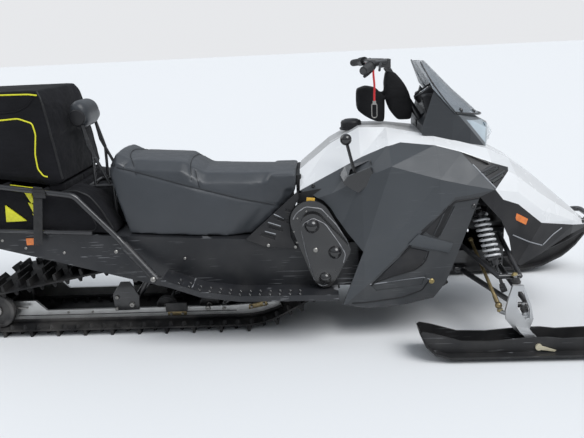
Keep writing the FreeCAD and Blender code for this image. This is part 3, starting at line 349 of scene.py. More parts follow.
def turned(profile, foot, way, segments=32):
    """A round part: its profile of radius and height is spun round the line that starts at foot."""
    bm = bmesh.new()
    verts = [bm.verts.new((radius, 0, height)) for radius, height in profile]
    edges = [bm.edges.new(pair) for pair in zip(verts, verts[1:])]
    bmesh.ops.spin(bm, geom=verts + edges, cent=(0, 0, 0), axis=(0, 0, 1), angle=2 * math.pi, steps=segments,
        use_merge=True)
    bmesh.ops.remove_doubles(bm, verts=bm.verts, dist=1e-6)
    bmesh.ops.transform(bm, matrix=aimed(foot, way), verts=bm.verts)
    return bm


def screw(radius, height, sunk, spot, way, segments):
    """A screw head with a recess in it."""
    return turned(((0, height * 0.4), (radius * 0.32, height * 0.4), (radius * 0.4, height),
        (radius * 0.75, height), (radius, height * 0.5), (radius, -height * sunk), (0, -height * sunk)), spot,
        way, segments)


def heads(name, rows, look, sides=(-1, 1)):
    """Screw heads on upright faces. Each row: x, distance from the middle, z, radius, height."""
    parts = [screw(radius, height, 0.4, (x, side * y, z), (0, side, 0), 12)
        for x, y, z, radius, height in rows for side in sides]
    return piece(name, gather(parts), look, smooth=0.5)


tunnel_paint = finish("tunnel_paint", (0.019, 0.02, 0.023), 0.38, tone=0.25, grain=0.12,
    grain_size=420, marks=0.6, dust=0.08, shine=0.4)
black_steel = finish("black_steel", (0.02, 0.02, 0.022), 0.32, tone=0.2, grain=0.08,
    grain_size=500, coat=0.6, marks=0.12, dust=0.08)
wear(tunnel_paint, "tunnel", "footboard_right", "footboard_left")
TUNNEL_SIDE = 0.268
heads("tunnel_screws", [(x, TUNNEL_SIDE, z, 0.0068, 0.004) for x, z in (
    # x, z
    (-1.124, 0.453), (-1.227, 0.492), (-1.37, 0.515), (-0.95, 0.425), (-0.634, 0.43), (-0.4, 0.38))], zinc)
# Raised rings grip the boot along each board's outer edge.
BOARD_TOP = (
    # x and z of the grip face's bends, from the rear
    (-0.4795, 0.33), (-0.315, 0.268), (-0.142, 0.242), (0.286, 0.236))
GRIP_PITCH, GRIP_ROWS = 0.044, (0.345, 0.388)
GRIP_RING = ((0.0085, -0.003), (0.0085, 0.003), (0.0065, 0.005), (0.0045, 0.003), (0.0045, -0.003))
board_parts = []
for k in range(13):
    x = -0.41 + GRIP_PITCH * k
    z = [z0 + (z1 - z0) * (x - x0) / (x1 - x0) for (x0, z0), (x1, z1) in zip(BOARD_TOP, BOARD_TOP[1:])
        if x0 <= x < x1]
    board_parts += [turned(GRIP_RING, (x, y, z[0]), (0, 0, 1), 8) for y in GRIP_ROWS]
piece("board_grips", gather(board_parts), black_steel, mirrored=True)


# The frame behind the arms, the motor and the front bumper are black painted steel and castings,
# seen only between the panels.
wear(black_steel, "front_frame", "front_bumper")
cast_black = finish("cast_black", (0.03, 0.031, 0.033), 0.55, tone=0.25, patch=9.0, grain=0.35,
    grain_size=350, dust=0.3)
wear(cast_black, "engine")

# The track is one band of black rubber with bars across it. A row of guide lugs on each side of
# its inside runs past the wheels, and small steel clips line the windows.
rubber = finish("track_rubber", (0.011, 0.011, 0.012), 0.62, tone=0.3, patch=16.0, grain=0.3,
    grain_size=260, dust=0.16, shine=0.25)
wear(rubber, "track_belt")
BELT_ROUND = (
    # x, z, radius of the circles inside the belt, in the order it passes them
    (-1.34, 0.1255, 0.0855), (-0.17, 0.46, 0.42), (0.23, 0.295, 0.082), (-0.64, 0.283, 0.06))
GUIDE_PITCH = 0.064
GUIDE_ROWS = (0.086, 0.236)
GUIDE_HIGH = 0.02


def belt_stations(pitch):
    """Places along the belt's inside, each with the direction towards the inside."""
    ring = []
    for here, there in zip(BELT_ROUND, BELT_ROUND[1:] + BELT_ROUND[:1]):
        run = Vector((there[0] - here[0], there[1] - here[1]))
        lean = math.asin((here[2] - there[2]) / run.length)
        turn = math.atan2(run.y, run.x) - math.pi / 2 + lean
        ring.append((here, there, turn))
    line = []
    for (here, there, turn), (_, _, before) in zip(ring, ring[-1:] + ring[:-1]):
        sweep = (turn - before) % (2 * math.pi)
        steps = max(2, int(sweep / 0.04))
        line += [(here[0] + here[2] * math.cos(before + sweep * k / steps), here[1]
            + here[2] * math.sin(before + sweep * k / steps), before + sweep * k / steps)
            for k in range(steps + 1)]
        line.append((there[0] + there[2] * math.cos(turn), there[1] + there[2] * math.sin(turn), turn))
    places, due = [], 0.0
    for (x0, z0, a0), (x1, z1, a1) in zip(line, line[1:]):
        length = math.hypot(x1 - x0, z1 - z0)
        while due < length:
            t = due / length
            places.append((x0 + (x1 - x0) * t, z0 + (z1 - z0) * t, a0 + (a1 - a0) * t))
            due += pitch
        due -= length
    return places


GUIDE = ((0, GUIDE_HIGH), (0.006, GUIDE_HIGH), (0.015, -0.002), (0, -0.002))
guides = [turned(GUIDE, (x, y, z), (-math.cos(outward), 0, -math.sin(outward)), 4)
    for x, z, outward in belt_stations(GUIDE_PITCH) for y in GUIDE_ROWS]
piece("guide_lugs", gather(guides), rubber, mirrored=True, smooth=0.3)


# Two bare aluminium rails carry the sledge on the track. Black sliders clip along their feet,
# and the arms and wheels are bolted to them.
def pulled(bm, corners, across):
    """A flat outline pulled across the sledge to a closed block."""
    face = bm.faces.new([bm.verts.new(spot) for spot in corners])
    grown = bmesh.ops.extrude_face_region(bm, geom=[face])
    bmesh.ops.translate(bm, vec=(0, across, 0), verts=points_of(grown))


def round_off(bm, edges, width, segments):
    bmesh.ops.bevel(bm, geom=edges, offset=width, offset_type="OFFSET", segments=segments, profile=0.5,
        affect="EDGES", material=-1, clamp_overlap=True)


def plate(name, corners, inner, outer, look, edge=0.001, sides=(-1, 1), segments=2):
    """A flat piece drawn in x and z, with its thickness across the sledge."""
    bm = bmesh.new()
    for side in sides:
        pulled(bm, [(x, side * inner, z) for x, z in corners], side * (outer - inner))
    round_off(bm, bm.edges[:], edge, segments)
    return piece(name, bm, look)


def tube(name, route, radius, look, body="chassis", mirrored=False):
    """A rod or a piping along a smooth line."""
    mould = rope(name, route, radius, 3, 6)
    curve = mould.data
    mesh = bpy.data.meshes.new_from_object(mould)
    bm = bmesh.new()
    bm.from_mesh(mesh)
    bmesh.ops.remove_doubles(bm, verts=bm.verts, dist=1e-6)
    bpy.data.objects.remove(mould)
    bpy.data.curves.remove(curve)
    bpy.data.meshes.remove(mesh)
    return piece(name, bm, look, body, 0.8, mirrored=mirrored)


def slider_z(x):
    """The inside of the belt under the rails: flat, then rising round the front."""
    x0, z0, radius = BELT_ROUND[1]
    return z0 - radius if x < x0 else z0 - math.sqrt(radius ** 2 - (x - x0) ** 2)


rail_metal = finish("rail_aluminium", (0.6, 0.6, 0.59), 0.36, patch=7.0, metal=0.85,
    marks=0.25, dust=0.12, grain=0.1, grain_size=600)
bronze = finish("bronze_plate", (0.34, 0.26, 0.13), 0.38, tone=0.2, patch=16.0, metal=0.8,
    grain=0.15, grain_size=400, dust=0.1)
nylon = finish("black_nylon", (0.018, 0.018, 0.019), 0.5, tone=0.2, patch=12.0, grain=0.15,
    dust=0.25)
wear(rail_metal, "slide_rails")
RAIL_MIDDLE, RAIL_HALF = 0.15, 0.007
foot_line = [-1.39, -1.1, -0.8, -0.5, -0.17, -0.12, -0.07, -0.02, 0.015]
SLIDER_LOW, SLIDER_HIGH, SLIDER_HALF = 0.0005, 0.016, 0.015
slider = [(x, slider_z(x) + SLIDER_LOW) for x in foot_line] + [(x, slider_z(x) + SLIDER_HIGH)
    for x in foot_line[::-1]]
plate("sliders", slider, RAIL_MIDDLE - SLIDER_HALF, RAIL_MIDDLE + SLIDER_HALF, nylon, edge=0.002)
tube("rail_grooves", [(x, RAIL_MIDDLE + RAIL_HALF, 0.074) for x in (-1.27, -1.0, -0.7, -0.3, -0.2)], 0.0022,
    nylon, mirrored=True)
for name, corners, inner, outer, look, edge in (
        # name, corners in x and z, its faces' distances outside the rail's middle, finish, edge rounding
        ("rail_blocks", ((-0.54, 0.078), (-0.54, 0.124), (-0.436, 0.124), (-0.436, 0.078)), 0.004, 0.02,
         nylon, 0.004),
        ("rail_clamps", ((-0.533, 0.058), (-0.533, 0.078), (-0.441, 0.078), (-0.441, 0.058)), 0.004, 0.014,
         bronze, 0.002),
        ("rail_shoes", ((-0.142, 0.078), (-0.139, 0.102), (-0.052, 0.122), (-0.05, 0.096)), 0.004, 0.014,
         bronze, 0.002),
        ("arm_brackets", ((-0.786, 0.09), (-0.79, 0.17), (-0.745, 0.236), (-0.7, 0.236), (-0.662, 0.16),
         (-0.668, 0.092)), 0.006, 0.014, black_steel, 0.002)):
    plate(name, corners, RAIL_MIDDLE + inner, RAIL_MIDDLE + outer, look, edge)
heads("skid_bolts", [(x, RAIL_MIDDLE + out, z, radius, 0.008) for x, out, z, radius in (
    # x, distance outside the rail's middle, z, radius
    (-0.515, 0.014, 0.067, 0.007), (-0.46, 0.014, 0.067, 0.007), (-0.126, 0.014, 0.094, 0.007),
    (-0.066, 0.014, 0.108, 0.007), (-0.769, 0.014, 0.16, 0.01), (-0.776, 0.014, 0.102, 0.008),
    (-0.7, 0.014, 0.12, 0.014), (-0.337, 0.007, 0.09, 0.013), (-0.26, 0.007, 0.086, 0.009),
    (-1.3, 0.007, 0.086, 0.008), (-1.02, 0.007, 0.086, 0.006), (-0.9, 0.007, 0.086, 0.006))], zinc)
# A long bolt on each side sets the track's tension.
tube("tension_bolts", [(-1.335, RAIL_MIDDLE + 0.03, 0.125), (-1.27, RAIL_MIDDLE + 0.03, 0.125),
    (-1.205, RAIL_MIDDLE + 0.03, 0.124)], 0.006, zinc, mirrored=True)
wear(black_steel, "skid_arms")

# The wheels are black nylon discs with a rubber tyre, a bearing cap and a bright axle bolt.
wheel_rubber = finish("wheel_rubber", (0.02, 0.02, 0.021), 0.55, tone=0.2, patch=14.0,
    grain=0.15, dust=0.35)
wear(nylon, "rear_idlers", "bogie_wheels", "drive_axle")
tyres, caps = [], []
for x, z, radius, face in (
        # x, z, radius, distance of its outer face from the middle
        (-1.34, 0.1255, 0.0845, 0.216), (-0.545, 0.091, 0.05, 0.123), (-0.335, 0.091, 0.05, 0.123),
        (-0.64, 0.283, 0.059, 0.071)):
    tyres.append(turned(((radius * 0.8, -0.004), (radius * 0.8, 0.003), (radius * 0.86, 0.0045),
        (radius * 0.97, 0.003), (radius * 0.995, -0.004)), (x, face, z), (0, 1, 0), 40))
    caps.append(turned(((0, 0.01), (radius * 0.1, 0.01), (radius * 0.13, 0.006), (radius * 0.26, 0.005),
        (radius * 0.3, 0.0), (radius * 0.3, -0.004), (0, -0.004)), (x, face, z), (0, 1, 0), 24))
piece("wheel_tyres", gather(tyres), wheel_rubber, mirrored=True)
piece("wheel_caps", gather(caps), zinc, mirrored=True)


# Each damper is a black body and rod inside a pale coil spring, on an eye at each end.
def coil(foot, top, radius, wire, turns, start, end):
    """A round wire wound about the line from foot to top, over a share of it."""
    along = Vector(top) - Vector(foot)
    reach = along.length
    bm = bmesh.new()
    bmesh.ops.create_circle(bm, segments=10, radius=wire)
    bmesh.ops.rotate(bm, verts=bm.verts, cent=(0, 0, 0), matrix=Matrix.Rotation(math.pi / 2, 3, "X"))
    bmesh.ops.translate(bm, verts=bm.verts, vec=(radius, 0, reach * start))
    steps = int(turns * 22)
    bmesh.ops.spin(bm, geom=bm.edges[:], cent=(0, 0, 0), axis=(0, 0, 1), angle=2 * math.pi * turns,
        steps=steps, dvec=(0, 0, reach * (end - start) / steps))
    bmesh.ops.holes_fill(bm, edges=[e for e in bm.edges if e.is_boundary])
    bmesh.ops.transform(bm, matrix=aimed(foot, along), verts=bm.verts)
    return bm


def damper(foot, top, radius):
    """The rod, the body and its collars, spun round the line from foot to top."""
    along = Vector(top) - Vector(foot)
    profile = [(wide, share * along.length) for wide, share in (
        # radius, share of the length
        (0, 0.0), (0.012, 0.0), (0.012, 0.06), (0.007, 0.07), (0.007, 0.28), (radius, 0.29), (radius, 0.36),
        (radius * 2.0, 0.365), (radius * 2.05, 0.385), (radius * 1.1, 0.4), (radius, 0.9),
        (radius * 2.0, 0.905), (radius * 2.0, 0.93), (radius * 0.9, 0.94), (0.011, 1.0), (0, 1.0))]
    return turned(profile, foot, along, 28)


spring_paint = finish("spring_paint", (0.62, 0.63, 0.64), 0.36, tone=0.06, patch=10.0,
    metal=0.25, coat=0.2, dust=0.2)
damper_black = finish("damper_black", (0.02, 0.02, 0.022), 0.28, tone=0.1, patch=12.0,
    coat=0.4, dust=0.2)
SHOCK_TOP, SHOCK_FOOT = (0.905, 0.24, 0.562), (0.995, 0.372, 0.232)
piece("front_springs", coil(SHOCK_FOOT, SHOCK_TOP, 0.0305, 0.0056, 8.2, 0.39, 0.9), spring_paint,
    replaces=("front_shocks",), mirrored=True, smooth=1.2)
EYE_RING, EYE_WAY = ((0.007, -0.013), (0.015, -0.012), (0.015, 0.012), (0.007, 0.013)), (0.94, 0.0, 0.34)
shock_body = gather([damper(SHOCK_FOOT, SHOCK_TOP, 0.0165), turned(EYE_RING, SHOCK_FOOT, EYE_WAY, 20),
    turned(EYE_RING, SHOCK_TOP, EYE_WAY, 20)])
piece("front_dampers", shock_body, damper_black, replaces=("front_shocks",), mirrored=True)
SKID_TOP, SKID_FOOT = (-0.047, 0.0, 0.3155), (-0.5245, 0.0, 0.102)
piece("skid_spring", coil(SKID_FOOT, SKID_TOP, 0.0285, 0.0052, 9.0, 0.39, 0.9), spring_paint,
    replaces=("skid_shock",), smooth=1.2)
piece("skid_damper", damper(SKID_FOOT, SKID_TOP, 0.0155), damper_black, replaces=("skid_shock",))

# The arms are welded black tube. The tie rods are bronze coloured, with sealed ball joints and
# castle nuts, and the cast aluminium uprights turn between the arms' ends.
wear(black_steel, "upper_arms", "lower_arms")
cast_metal = finish("cast_aluminium", (0.58, 0.59, 0.6), 0.42, tone=0.08, patch=14.0,
    metal=0.75, grain=0.35, grain_size=420, dust=0.25)
brass = finish("yellow_zinc", (0.48, 0.38, 0.17), 0.36, tone=0.15, patch=20.0, metal=0.8,
    dust=0.15)
boot_rubber = finish("boot_rubber", (0.018, 0.018, 0.018), 0.6, tone=0.2, patch=20.0,
    grain=0.1, dust=0.2)


CREASE = 0.12


def softened(node, name, look, width=0.003, segments=2, body="chassis"):
    """A copy of a node with its triangles joined to whole faces and its edges rounded."""
    bm = bmesh.new()
    bm.from_mesh(frame["nodes"][node].data)
    bmesh.ops.remove_doubles(bm, verts=bm.verts, dist=2e-5)
    bmesh.ops.dissolve_limit(bm, angle_limit=0.01, verts=bm.verts, edges=bm.edges)
    round_off(bm, [e for e in bm.edges if len(e.link_faces) == 2 and e.calc_face_angle(0) > CREASE], width,
        segments)
    obj = piece(name, bm, look, body, 0.9, (node,))
    flat = obj.modifiers.new("flat_faces", "WEIGHTED_NORMAL")
    flat.keep_sharp = True
    flat.weight = 100
    return obj


KINGPIN_TOP, KINGPIN_FOOT = Vector((1.03, 0.43, 0.292)), Vector((1.062, 0.452, 0.174))
STEER_BALL = Vector((0.958, 0.442, 0.186))
up_the_pin = (KINGPIN_TOP - KINGPIN_FOOT).normalized()
nut = ((0, 0.013), (0.006, 0.013), (0.0065, 0.01), (0.011, 0.01), (0.0125, 0.008), (0.0125, 0.0), (0, 0.0))
boot = ((0.009, -0.012), (0.016, -0.01), (0.018, -0.004), (0.015, 0.002), (0.017, 0.006), (0.012, 0.012))
for side, label in SIDES:
    mirror = Vector((1, side, 1))
    wear(cast_metal, "spindle_" + label)
    wear(bronze, "tie_rod_" + label)
    top, foot, ball = (at * mirror for at in (KINGPIN_TOP, KINGPIN_FOOT, STEER_BALL))
    pin = up_the_pin * mirror
    nuts = [turned(nut, at, way, 6) for at, way in ((top + pin * 0.022, pin), (foot - pin * 0.02, -pin),
        (ball - pin * 0.016, -pin))]
    piece("castle_nuts_" + label, gather(nuts), brass, "spindle_" + label, 0.3)
    boots = [turned(boot, at, pin, 20) for at in (top - pin * 0.004, foot + pin * 0.004)]
    piece("joint_boots_" + label, gather(boots), boot_rubber, "spindle_" + label)

# Each ski is a long moulded plastic keel with a turned-up tip and a hardened steel runner below.
# It swings on one bolt with a cream coloured stop lever.
ski_plastic = finish("ski_plastic", (0.018, 0.018, 0.019), 0.42, tone=0.15, patch=5.0,
    grain=0.12, marks=0.3, dust=0.06, shine=0.4)
lever_cream = finish("cream_lever", (0.6, 0.55, 0.4), 0.42, tone=0.1, patch=30.0, metal=0.2,
    dust=0.2)
for side, label in SIDES:
    softened("ski_" + label, "ski_keel_" + label, ski_plastic, 0.002, 2, "ski_" + label)
    wear(lever_cream, "ski_hardware_" + label)


# The bodywork is moulded in two plastics: gloss white over the tank and nose, and grained
# charcoal at the sides. The panels hang on screws and quarter-turn pegs.
charcoal = finish("charcoal_plastic", (0.054, 0.06, 0.067), 0.46, tone=0.06, grain=0.2,
    grain_size=1100, dust=0.06, marks=0.08)
pod_grey = finish("pod_plastic", (0.032, 0.036, 0.041), 0.46, tone=0.06, grain=0.2,
    grain_size=1100, dust=0.06, marks=0.05)
insert_grey = finish("insert_plastic", (0.04, 0.043, 0.047), 0.5, tone=0.08, grain=0.25,
    grain_size=900, dust=0.1, marks=0.1)
white_gloss = finish("white_gloss", (0.8, 0.81, 0.82), 0.24, tone=0.015, coat=0.5, dust=0.05)
black_plastic = finish("black_plastic", (0.018, 0.018, 0.02), 0.42, tone=0.15, grain=0.18,
    grain_size=800, dust=0.12, shine=0.35)
gloss_black = finish("gloss_black", (0.012, 0.012, 0.013), 0.22, tone=0.2, coat=0.6,
    dust=0.1)
# The pale lines in this finish are painted highlights along the edges of steps, vents and ribs.
painted_highlight = finish("painted_edge_highlight", (0.3, 0.31, 0.33), 0.45, tone=0.1, patch=14.0, grain=0.1)
for node, look, width in (
        # node, finish, edge rounding
        ("side_panel_right", charcoal, 0.003),
        ("side_panel_left", charcoal, 0.003),
        ("lower_inserts", insert_grey, 0.003),
        ("side_vents", black_plastic, 0.002),
        ("console", white_gloss, 0.003),
        ("hood", white_gloss, 0.003),
        ("nose_fairing", black_plastic, 0.003),
        ("belly_pan", black_plastic, 0.003),
        ("side_trims", black_plastic, 0.002),
        ("dash_pod", pod_grey, 0.003)):
    softened(node, node + "_shell", look, width)


OUTSIDE, ABOVE = 0.9, 1.4
LINE_PITCH = 0.02


def touch(on, x, z, side):
    """Where a line across the sledge, level with x and z, first meets a piece from one side."""
    hit, spot, _, _ = on.ray_cast(Vector((x, side * OUTSIDE, z)), Vector((0, -side, 0)))
    return spot if hit else None


def outermost(pieces, x, z, side):
    """The same on whichever of several pieces stands out furthest there."""
    spots = [spot for spot in (touch(on, x, z, side) for on in pieces) if spot is not None]
    return max(spots, key=lambda spot: abs(spot.y)) if spots else None


def drop(on, x, y):
    """Where a line from above first meets a piece."""
    hit, spot, _, _ = on.ray_cast(Vector((x, y, ABOVE)), Vector((0, 0, -1)))
    return spot if hit else None


def along_path(rows):
    """Rows of x and z with more points between them, so that a line can follow a surface."""
    fine = []
    for (x0, z0), (x1, z1) in zip(rows, rows[1:]):
        count = max(1, int(math.hypot(x1 - x0, z1 - z0) / LINE_PITCH))
        fine += [(x0 + (x1 - x0) * k / count, z0 + (z1 - z0) * k / count) for k in range(count)]
    return fine + [rows[-1]]


def screws_on(name, on, rows, look):
    """Screw heads seated on a piece's own surface. Each row: x, z, radius, height."""
    bpy.context.view_layer.update()
    parts = []
    for x, z, radius, height in rows:
        for side in (-1, 1):
            hit, spot, facing, _ = on.ray_cast(Vector((x, side * OUTSIDE, z)), Vector((0, -side, 0)))
            if hit:
                parts.append(screw(radius, height, 0.6, spot, facing, 16))
    return piece(name, gather(parts), look, smooth=0.5)


def line_on(name, pieces, rows, radius, look, sides=SIDES, closed=False):
    """A thin edge or joint line that follows the surface of the pieces behind it."""
    bpy.context.view_layer.update()
    for side, label in sides:
        spots = [outermost(pieces, x, z, side) for x, z in along_path(rows + rows[:1] if closed else rows)]
        spots = [spot for spot in spots if spot is not None]
        if len(spots) > 2:
            tube(name + "_" + label, spots, radius, look)


def patch_on(name, pieces, rows, lift, depth, look, edge):
    """A thin flat form laid on the surface of the pieces behind it."""
    bpy.context.view_layer.update()
    bm = bmesh.new()
    for side in (-1, 1):
        spots = [outermost(pieces, x, z, side) for x, z in rows]
        if None not in spots:
            pulled(bm, [(p.x, p.y + side * lift, p.z) for p in spots], -side * depth)
    round_off(bm, bm.edges[:], edge, 2)
    return piece(name, bm, look)


def repainted(obj, planes, looks, pick):
    """Cuts a piece's faces along planes, then gives each the finish that pick says for its middle."""
    bm = bmesh.new()
    bm.from_mesh(obj.data)
    for at, way in planes:
        bmesh.ops.bisect_plane(bm, geom=bm.verts[:] + bm.edges[:] + bm.faces[:], dist=1e-5, plane_co=at,
            plane_no=way)
    for face in bm.faces:
        face.material_index = pick(face.calc_center_median())
    bm.to_mesh(obj.data)
    bm.free()
    for look in looks:
        obj.data.materials.append(look)


shells = {obj.name: obj for obj in scene.objects}
# The white cover is painted black where it passes under the grey panels: painted shade under their edges.
FOOT_FROM, FOOT_TO = Vector((0.129, 0, 0.66)), Vector((0.407, 0, 0.806))
FOOT_GAP, FOOT_INSIDE, FOOT_FRONT = 0.003, 0.12, 0.41
across_foot = Vector((FOOT_FROM.z - FOOT_TO.z, 0, FOOT_TO.x - FOOT_FROM.x)).normalized()


def shaded_under_panels(middle):
    below = (middle - FOOT_FROM + Vector((0, 0, FOOT_GAP))).dot(across_foot) < 0
    return int(below and abs(middle.y) > FOOT_INSIDE and middle.x < FOOT_FRONT)


repainted(shells["console_shell"], [(FOOT_FROM - across_foot * FOOT_GAP, across_foot)], [black_plastic],
    shaded_under_panels)

# Moulded steps, joints and pockets break up the side panels and what is let into them. Their near-black lines
# and patches are painted shade in recesses and under the ridge, and their pale lines are painted highlights
# on edges.
side_skin = [shells[name] for name in ("side_panel_right_shell", "side_panel_left_shell",
    "lower_inserts_shell")]
# Near-black for dark joints, and for painted shade in slots and pockets and under the ridge and the vent
# blades.
joint_and_shade_black = finish("dark_joint_and_painted_shade", (0.006, 0.006, 0.007), 0.6, tone=0.2, patch=30.0,
    grain=0.2)
# The pocket and the slot are near-black sheets laid on the insert, painted shade in those recesses.
for name, rows, lift, depth, look, edge in (
        # name, corners in x and z, height over the panel, thickness, finish, edge rounding
        ("pocket_shade", ((0.452, 0.282), (0.592, 0.432), (0.672, 0.408), (0.646, 0.349), (0.614, 0.327)),
         0.0012, 0.006, black_plastic, 0.001),
        ("slot_shade", ((0.752, 0.612), (0.773, 0.609), (0.714, 0.469), (0.696, 0.479)), 0.0012, 0.006,
         joint_and_shade_black, 0.001),
        ("insert_window", ((0.64, 0.505), (0.744, 0.606), (0.692, 0.482), (0.66, 0.492)), 0.001, 0.005,
         black_plastic, 0.001),
        ("insert_brace", ((0.585, 0.447), (0.628, 0.493), (0.779, 0.441), (0.763, 0.398)), 0.0075, 0.014,
         charcoal, 0.003)):
    patch_on(name, side_skin, rows, lift, depth, look, edge)
vent_skin, nose_skin, trim_skin = ([shells[name + "_shell"]] for name in ("side_vents", "nose_fairing",
    "side_trims"))
# The near-black line along the ridge is the painted shadow under the panel's overhang, and the one round the
# pocket is painted shade at its rim.
for name, on, rows, radius, look in (
        # name, pieces behind it, its points in x and z, radius, finish
        ("ridge_shadow", side_skin, ((0.429, 0.26), (0.525, 0.356), (0.609, 0.454), (0.7, 0.549),
         (0.783, 0.628), (0.884, 0.637), (0.951, 0.652)), 0.0045, joint_and_shade_black),
        ("pocket_edge", side_skin, ((0.676, 0.411), (0.67, 0.378), (0.65, 0.347), (0.618, 0.325),
         (0.53, 0.302), (0.445, 0.274)), 0.003, joint_and_shade_black),
        ("insert_step", side_skin, ((0.423, 0.266), (0.555, 0.279), (0.663, 0.287), (0.684, 0.276)), 0.0022,
         painted_highlight),
        ("insert_groove", side_skin, ((0.345, 0.172), (0.564, 0.196), (0.651, 0.226), (0.68, 0.27)), 0.003,
         joint_and_shade_black),
        ("vent_edge", vent_skin, ((0.822, 0.815), (0.957, 0.668)), 0.0035, painted_highlight),
        ("hood_joint", [shells["hood_shell"]], ((0.735, 0.868), (0.745, 0.85)), 0.0015, joint_and_shade_black),
        ("nose_step_low", nose_skin, ((1.045, 0.452), (1.12, 0.412), (1.195, 0.378)), 0.0028, painted_highlight),
        ("nose_step_front", nose_skin, ((1.2, 0.38), (1.245, 0.42), (1.29, 0.445)), 0.0028, painted_highlight)):
    line_on(name, on, rows, radius, look)
# Each vent blade is a grey rod with a near-black line under it, painted as the blade's shadow.
for k, rows in enumerate((
        # x, z of each blade's rear and front ends
        [(0.866, 0.764), (0.908, 0.778)], [(0.898, 0.734), (0.962, 0.755)],
        [(0.928, 0.702), (1.004, 0.729)])):
    line_on("vent_blade_%d" % k, vent_skin, rows, 0.005, insert_grey)
    line_on("vent_blade_shadow_%d" % k, vent_skin, [(x, z - 0.01) for x, z in rows], 0.0045, joint_and_shade_black)
# Each slot in the trim is a near-black line, painted shade inside it, with a pale painted highlight along the
# rib above it.
for k, rows in enumerate((
        # x, z of each slot's rear and front ends
        [(-0.03, 0.49), (0.018, 0.475)], [(-0.014, 0.531), (0.042, 0.511)], [(0.014, 0.567), (0.057, 0.545)],
        [(0.038, 0.598), (0.072, 0.586)])):
    line_on("trim_slot_shade_%d" % k, trim_skin, rows, 0.004, joint_and_shade_black)
    line_on("trim_rib_%d" % k, trim_skin, [(x, z + 0.008) for x, z in rows], 0.0025, painted_highlight)
for name, on, rows, look in (
        # name, the shell that it sits on, its screws, finish
        ("panel_pegs", "side_panel_right", ((0.19, 0.681, 0.009, 0.006),), gloss_black),
        ("insert_screws", "lower_inserts", ((0.692, 0.268, 0.012, 0.005),), brass),
        ("insert_pegs", "lower_inserts", ((0.862, 0.602, 0.01, 0.005),), gloss_black),
        ("trim_screws", "side_trims", ((-0.018, 0.432, 0.008, 0.004), (0.103, 0.421, 0.008, 0.004)), zinc)):
    screws_on(name, shells[on + "_shell"], rows, look)

# The drive cover is a moulded black shell over the chain case, on the right side only. Pale lines painted
# along its rims as highlights, an amber tag and a ring of small screws show round it.
wear(gloss_black, "chaincase_cover")
# A black inner wall closes the body behind it, and a foam strip seals the seat to the white cover.
plate("inner_walls", ((0.118, 0.43), (0.118, 0.65), (0.15, 0.664), (0.42, 0.7), (0.42, 0.425)), 0.236, 0.246,
    joint_and_shade_black, edge=0.001)
plate("seat_seal", ((0.1125, 0.47), (0.1125, 0.722), (0.136, 0.722), (0.136, 0.47)), 0.0, 0.158, joint_and_shade_black,
    edge=0.003)
cover = [frame["nodes"]["chaincase_cover"]]
cover_rim_highlight = finish("cover_rim_highlight", (0.26, 0.26, 0.27), 0.22, tone=0.3, patch=40.0, coat=0.8,
    grain=0.2)
line_on("cover_face_rim", cover, [(0.132, 0.506), (0.146, 0.546), (0.186, 0.566), (0.238, 0.538),
    (0.295, 0.45), (0.322, 0.399), (0.305, 0.335), (0.269, 0.265), (0.214, 0.253), (0.18, 0.276),
    (0.15, 0.4)], 0.0022, cover_rim_highlight, SIDES[:1], closed=True)
line_on("cover_flange_rim", cover, [(0.102, 0.446), (0.086, 0.53), (0.112, 0.582), (0.155, 0.611),
    (0.222, 0.6), (0.287, 0.524), (0.33, 0.452), (0.35, 0.385)], 0.0025, cover_rim_highlight, SIDES[:1])
heads("cover_studs", [(x, 0.303, z, 0.0045, 0.004) for x, z in ((0.158, 0.59), (0.118, 0.56), (0.1, 0.5),
    (0.112, 0.45), (0.25, 0.565))], zinc, sides=(-1,))
amber = finish("amber_tag", (0.62, 0.36, 0.04), 0.45, patch=60.0)
plate("bare_brass_tag", ((0.159, 0.63), (0.161, 0.649), (0.197, 0.645), (0.195, 0.627)), 0.29, 0.302, amber,
    edge=0.001, sides=(-1,))
heads("cover_screws", [(0.192, 0.332, 0.421, 0.011, 0.006)], zinc, sides=(-1,))

# A ribbed filler cap stands on the white cover in front of the seat.
bpy.context.view_layer.update()
cap_at = drop(shells["console_shell"], 0.372, 0.0)
cap_rows = ((0, 0.04), (0.03, 0.04), (0.036, 0.036), (0.043, 0.034), (0.046, 0.028), (0.046, 0.004),
    (0.052, 0.002), (0.052, -0.006), (0, -0.006))
cap = turned(cap_rows, cap_at, (0, 0, 1), 40)
grips = [f for f in cap.faces if abs(f.normal.z) < 0.3 and f.calc_area() > 5e-5]
bmesh.ops.inset_individual(cap, faces=grips, thickness=0.0012, depth=0.0016)
piece("filler_cap", cap, black_plastic)

# The gear lever stands in a moulded pocket on the right side panel: a steel rod with a gloss ball.
wear(gloss_black, "gear_lever")

# Orange reflectors clip on the nose and on the tunnel's rear end.
orange = finish("orange_lens", (0.8, 0.2, 0.02), 0.18, tone=0.12, patch=40.0, coat=0.7,
    grain=0.5, grain_size=240)
softened("reflectors", "reflector_lenses", orange, 0.0015)


# The seat is foam under charcoal vinyl, sewn from side panels, a top panel and a rolled rear end.
def spaced(start, end, step, least=1):
    """Points from start to end, about a step apart."""
    count = max(least, int((end - start).length / step))
    return [start.lerp(end, k / count) for k in range(count + 1)]


def tree_of(spots):
    tree = KDTree(len(spots))
    for k, spot in enumerate(spots):
        tree.insert(spot, k)
    tree.balance()
    return tree


CLOTH_STEPS = 20


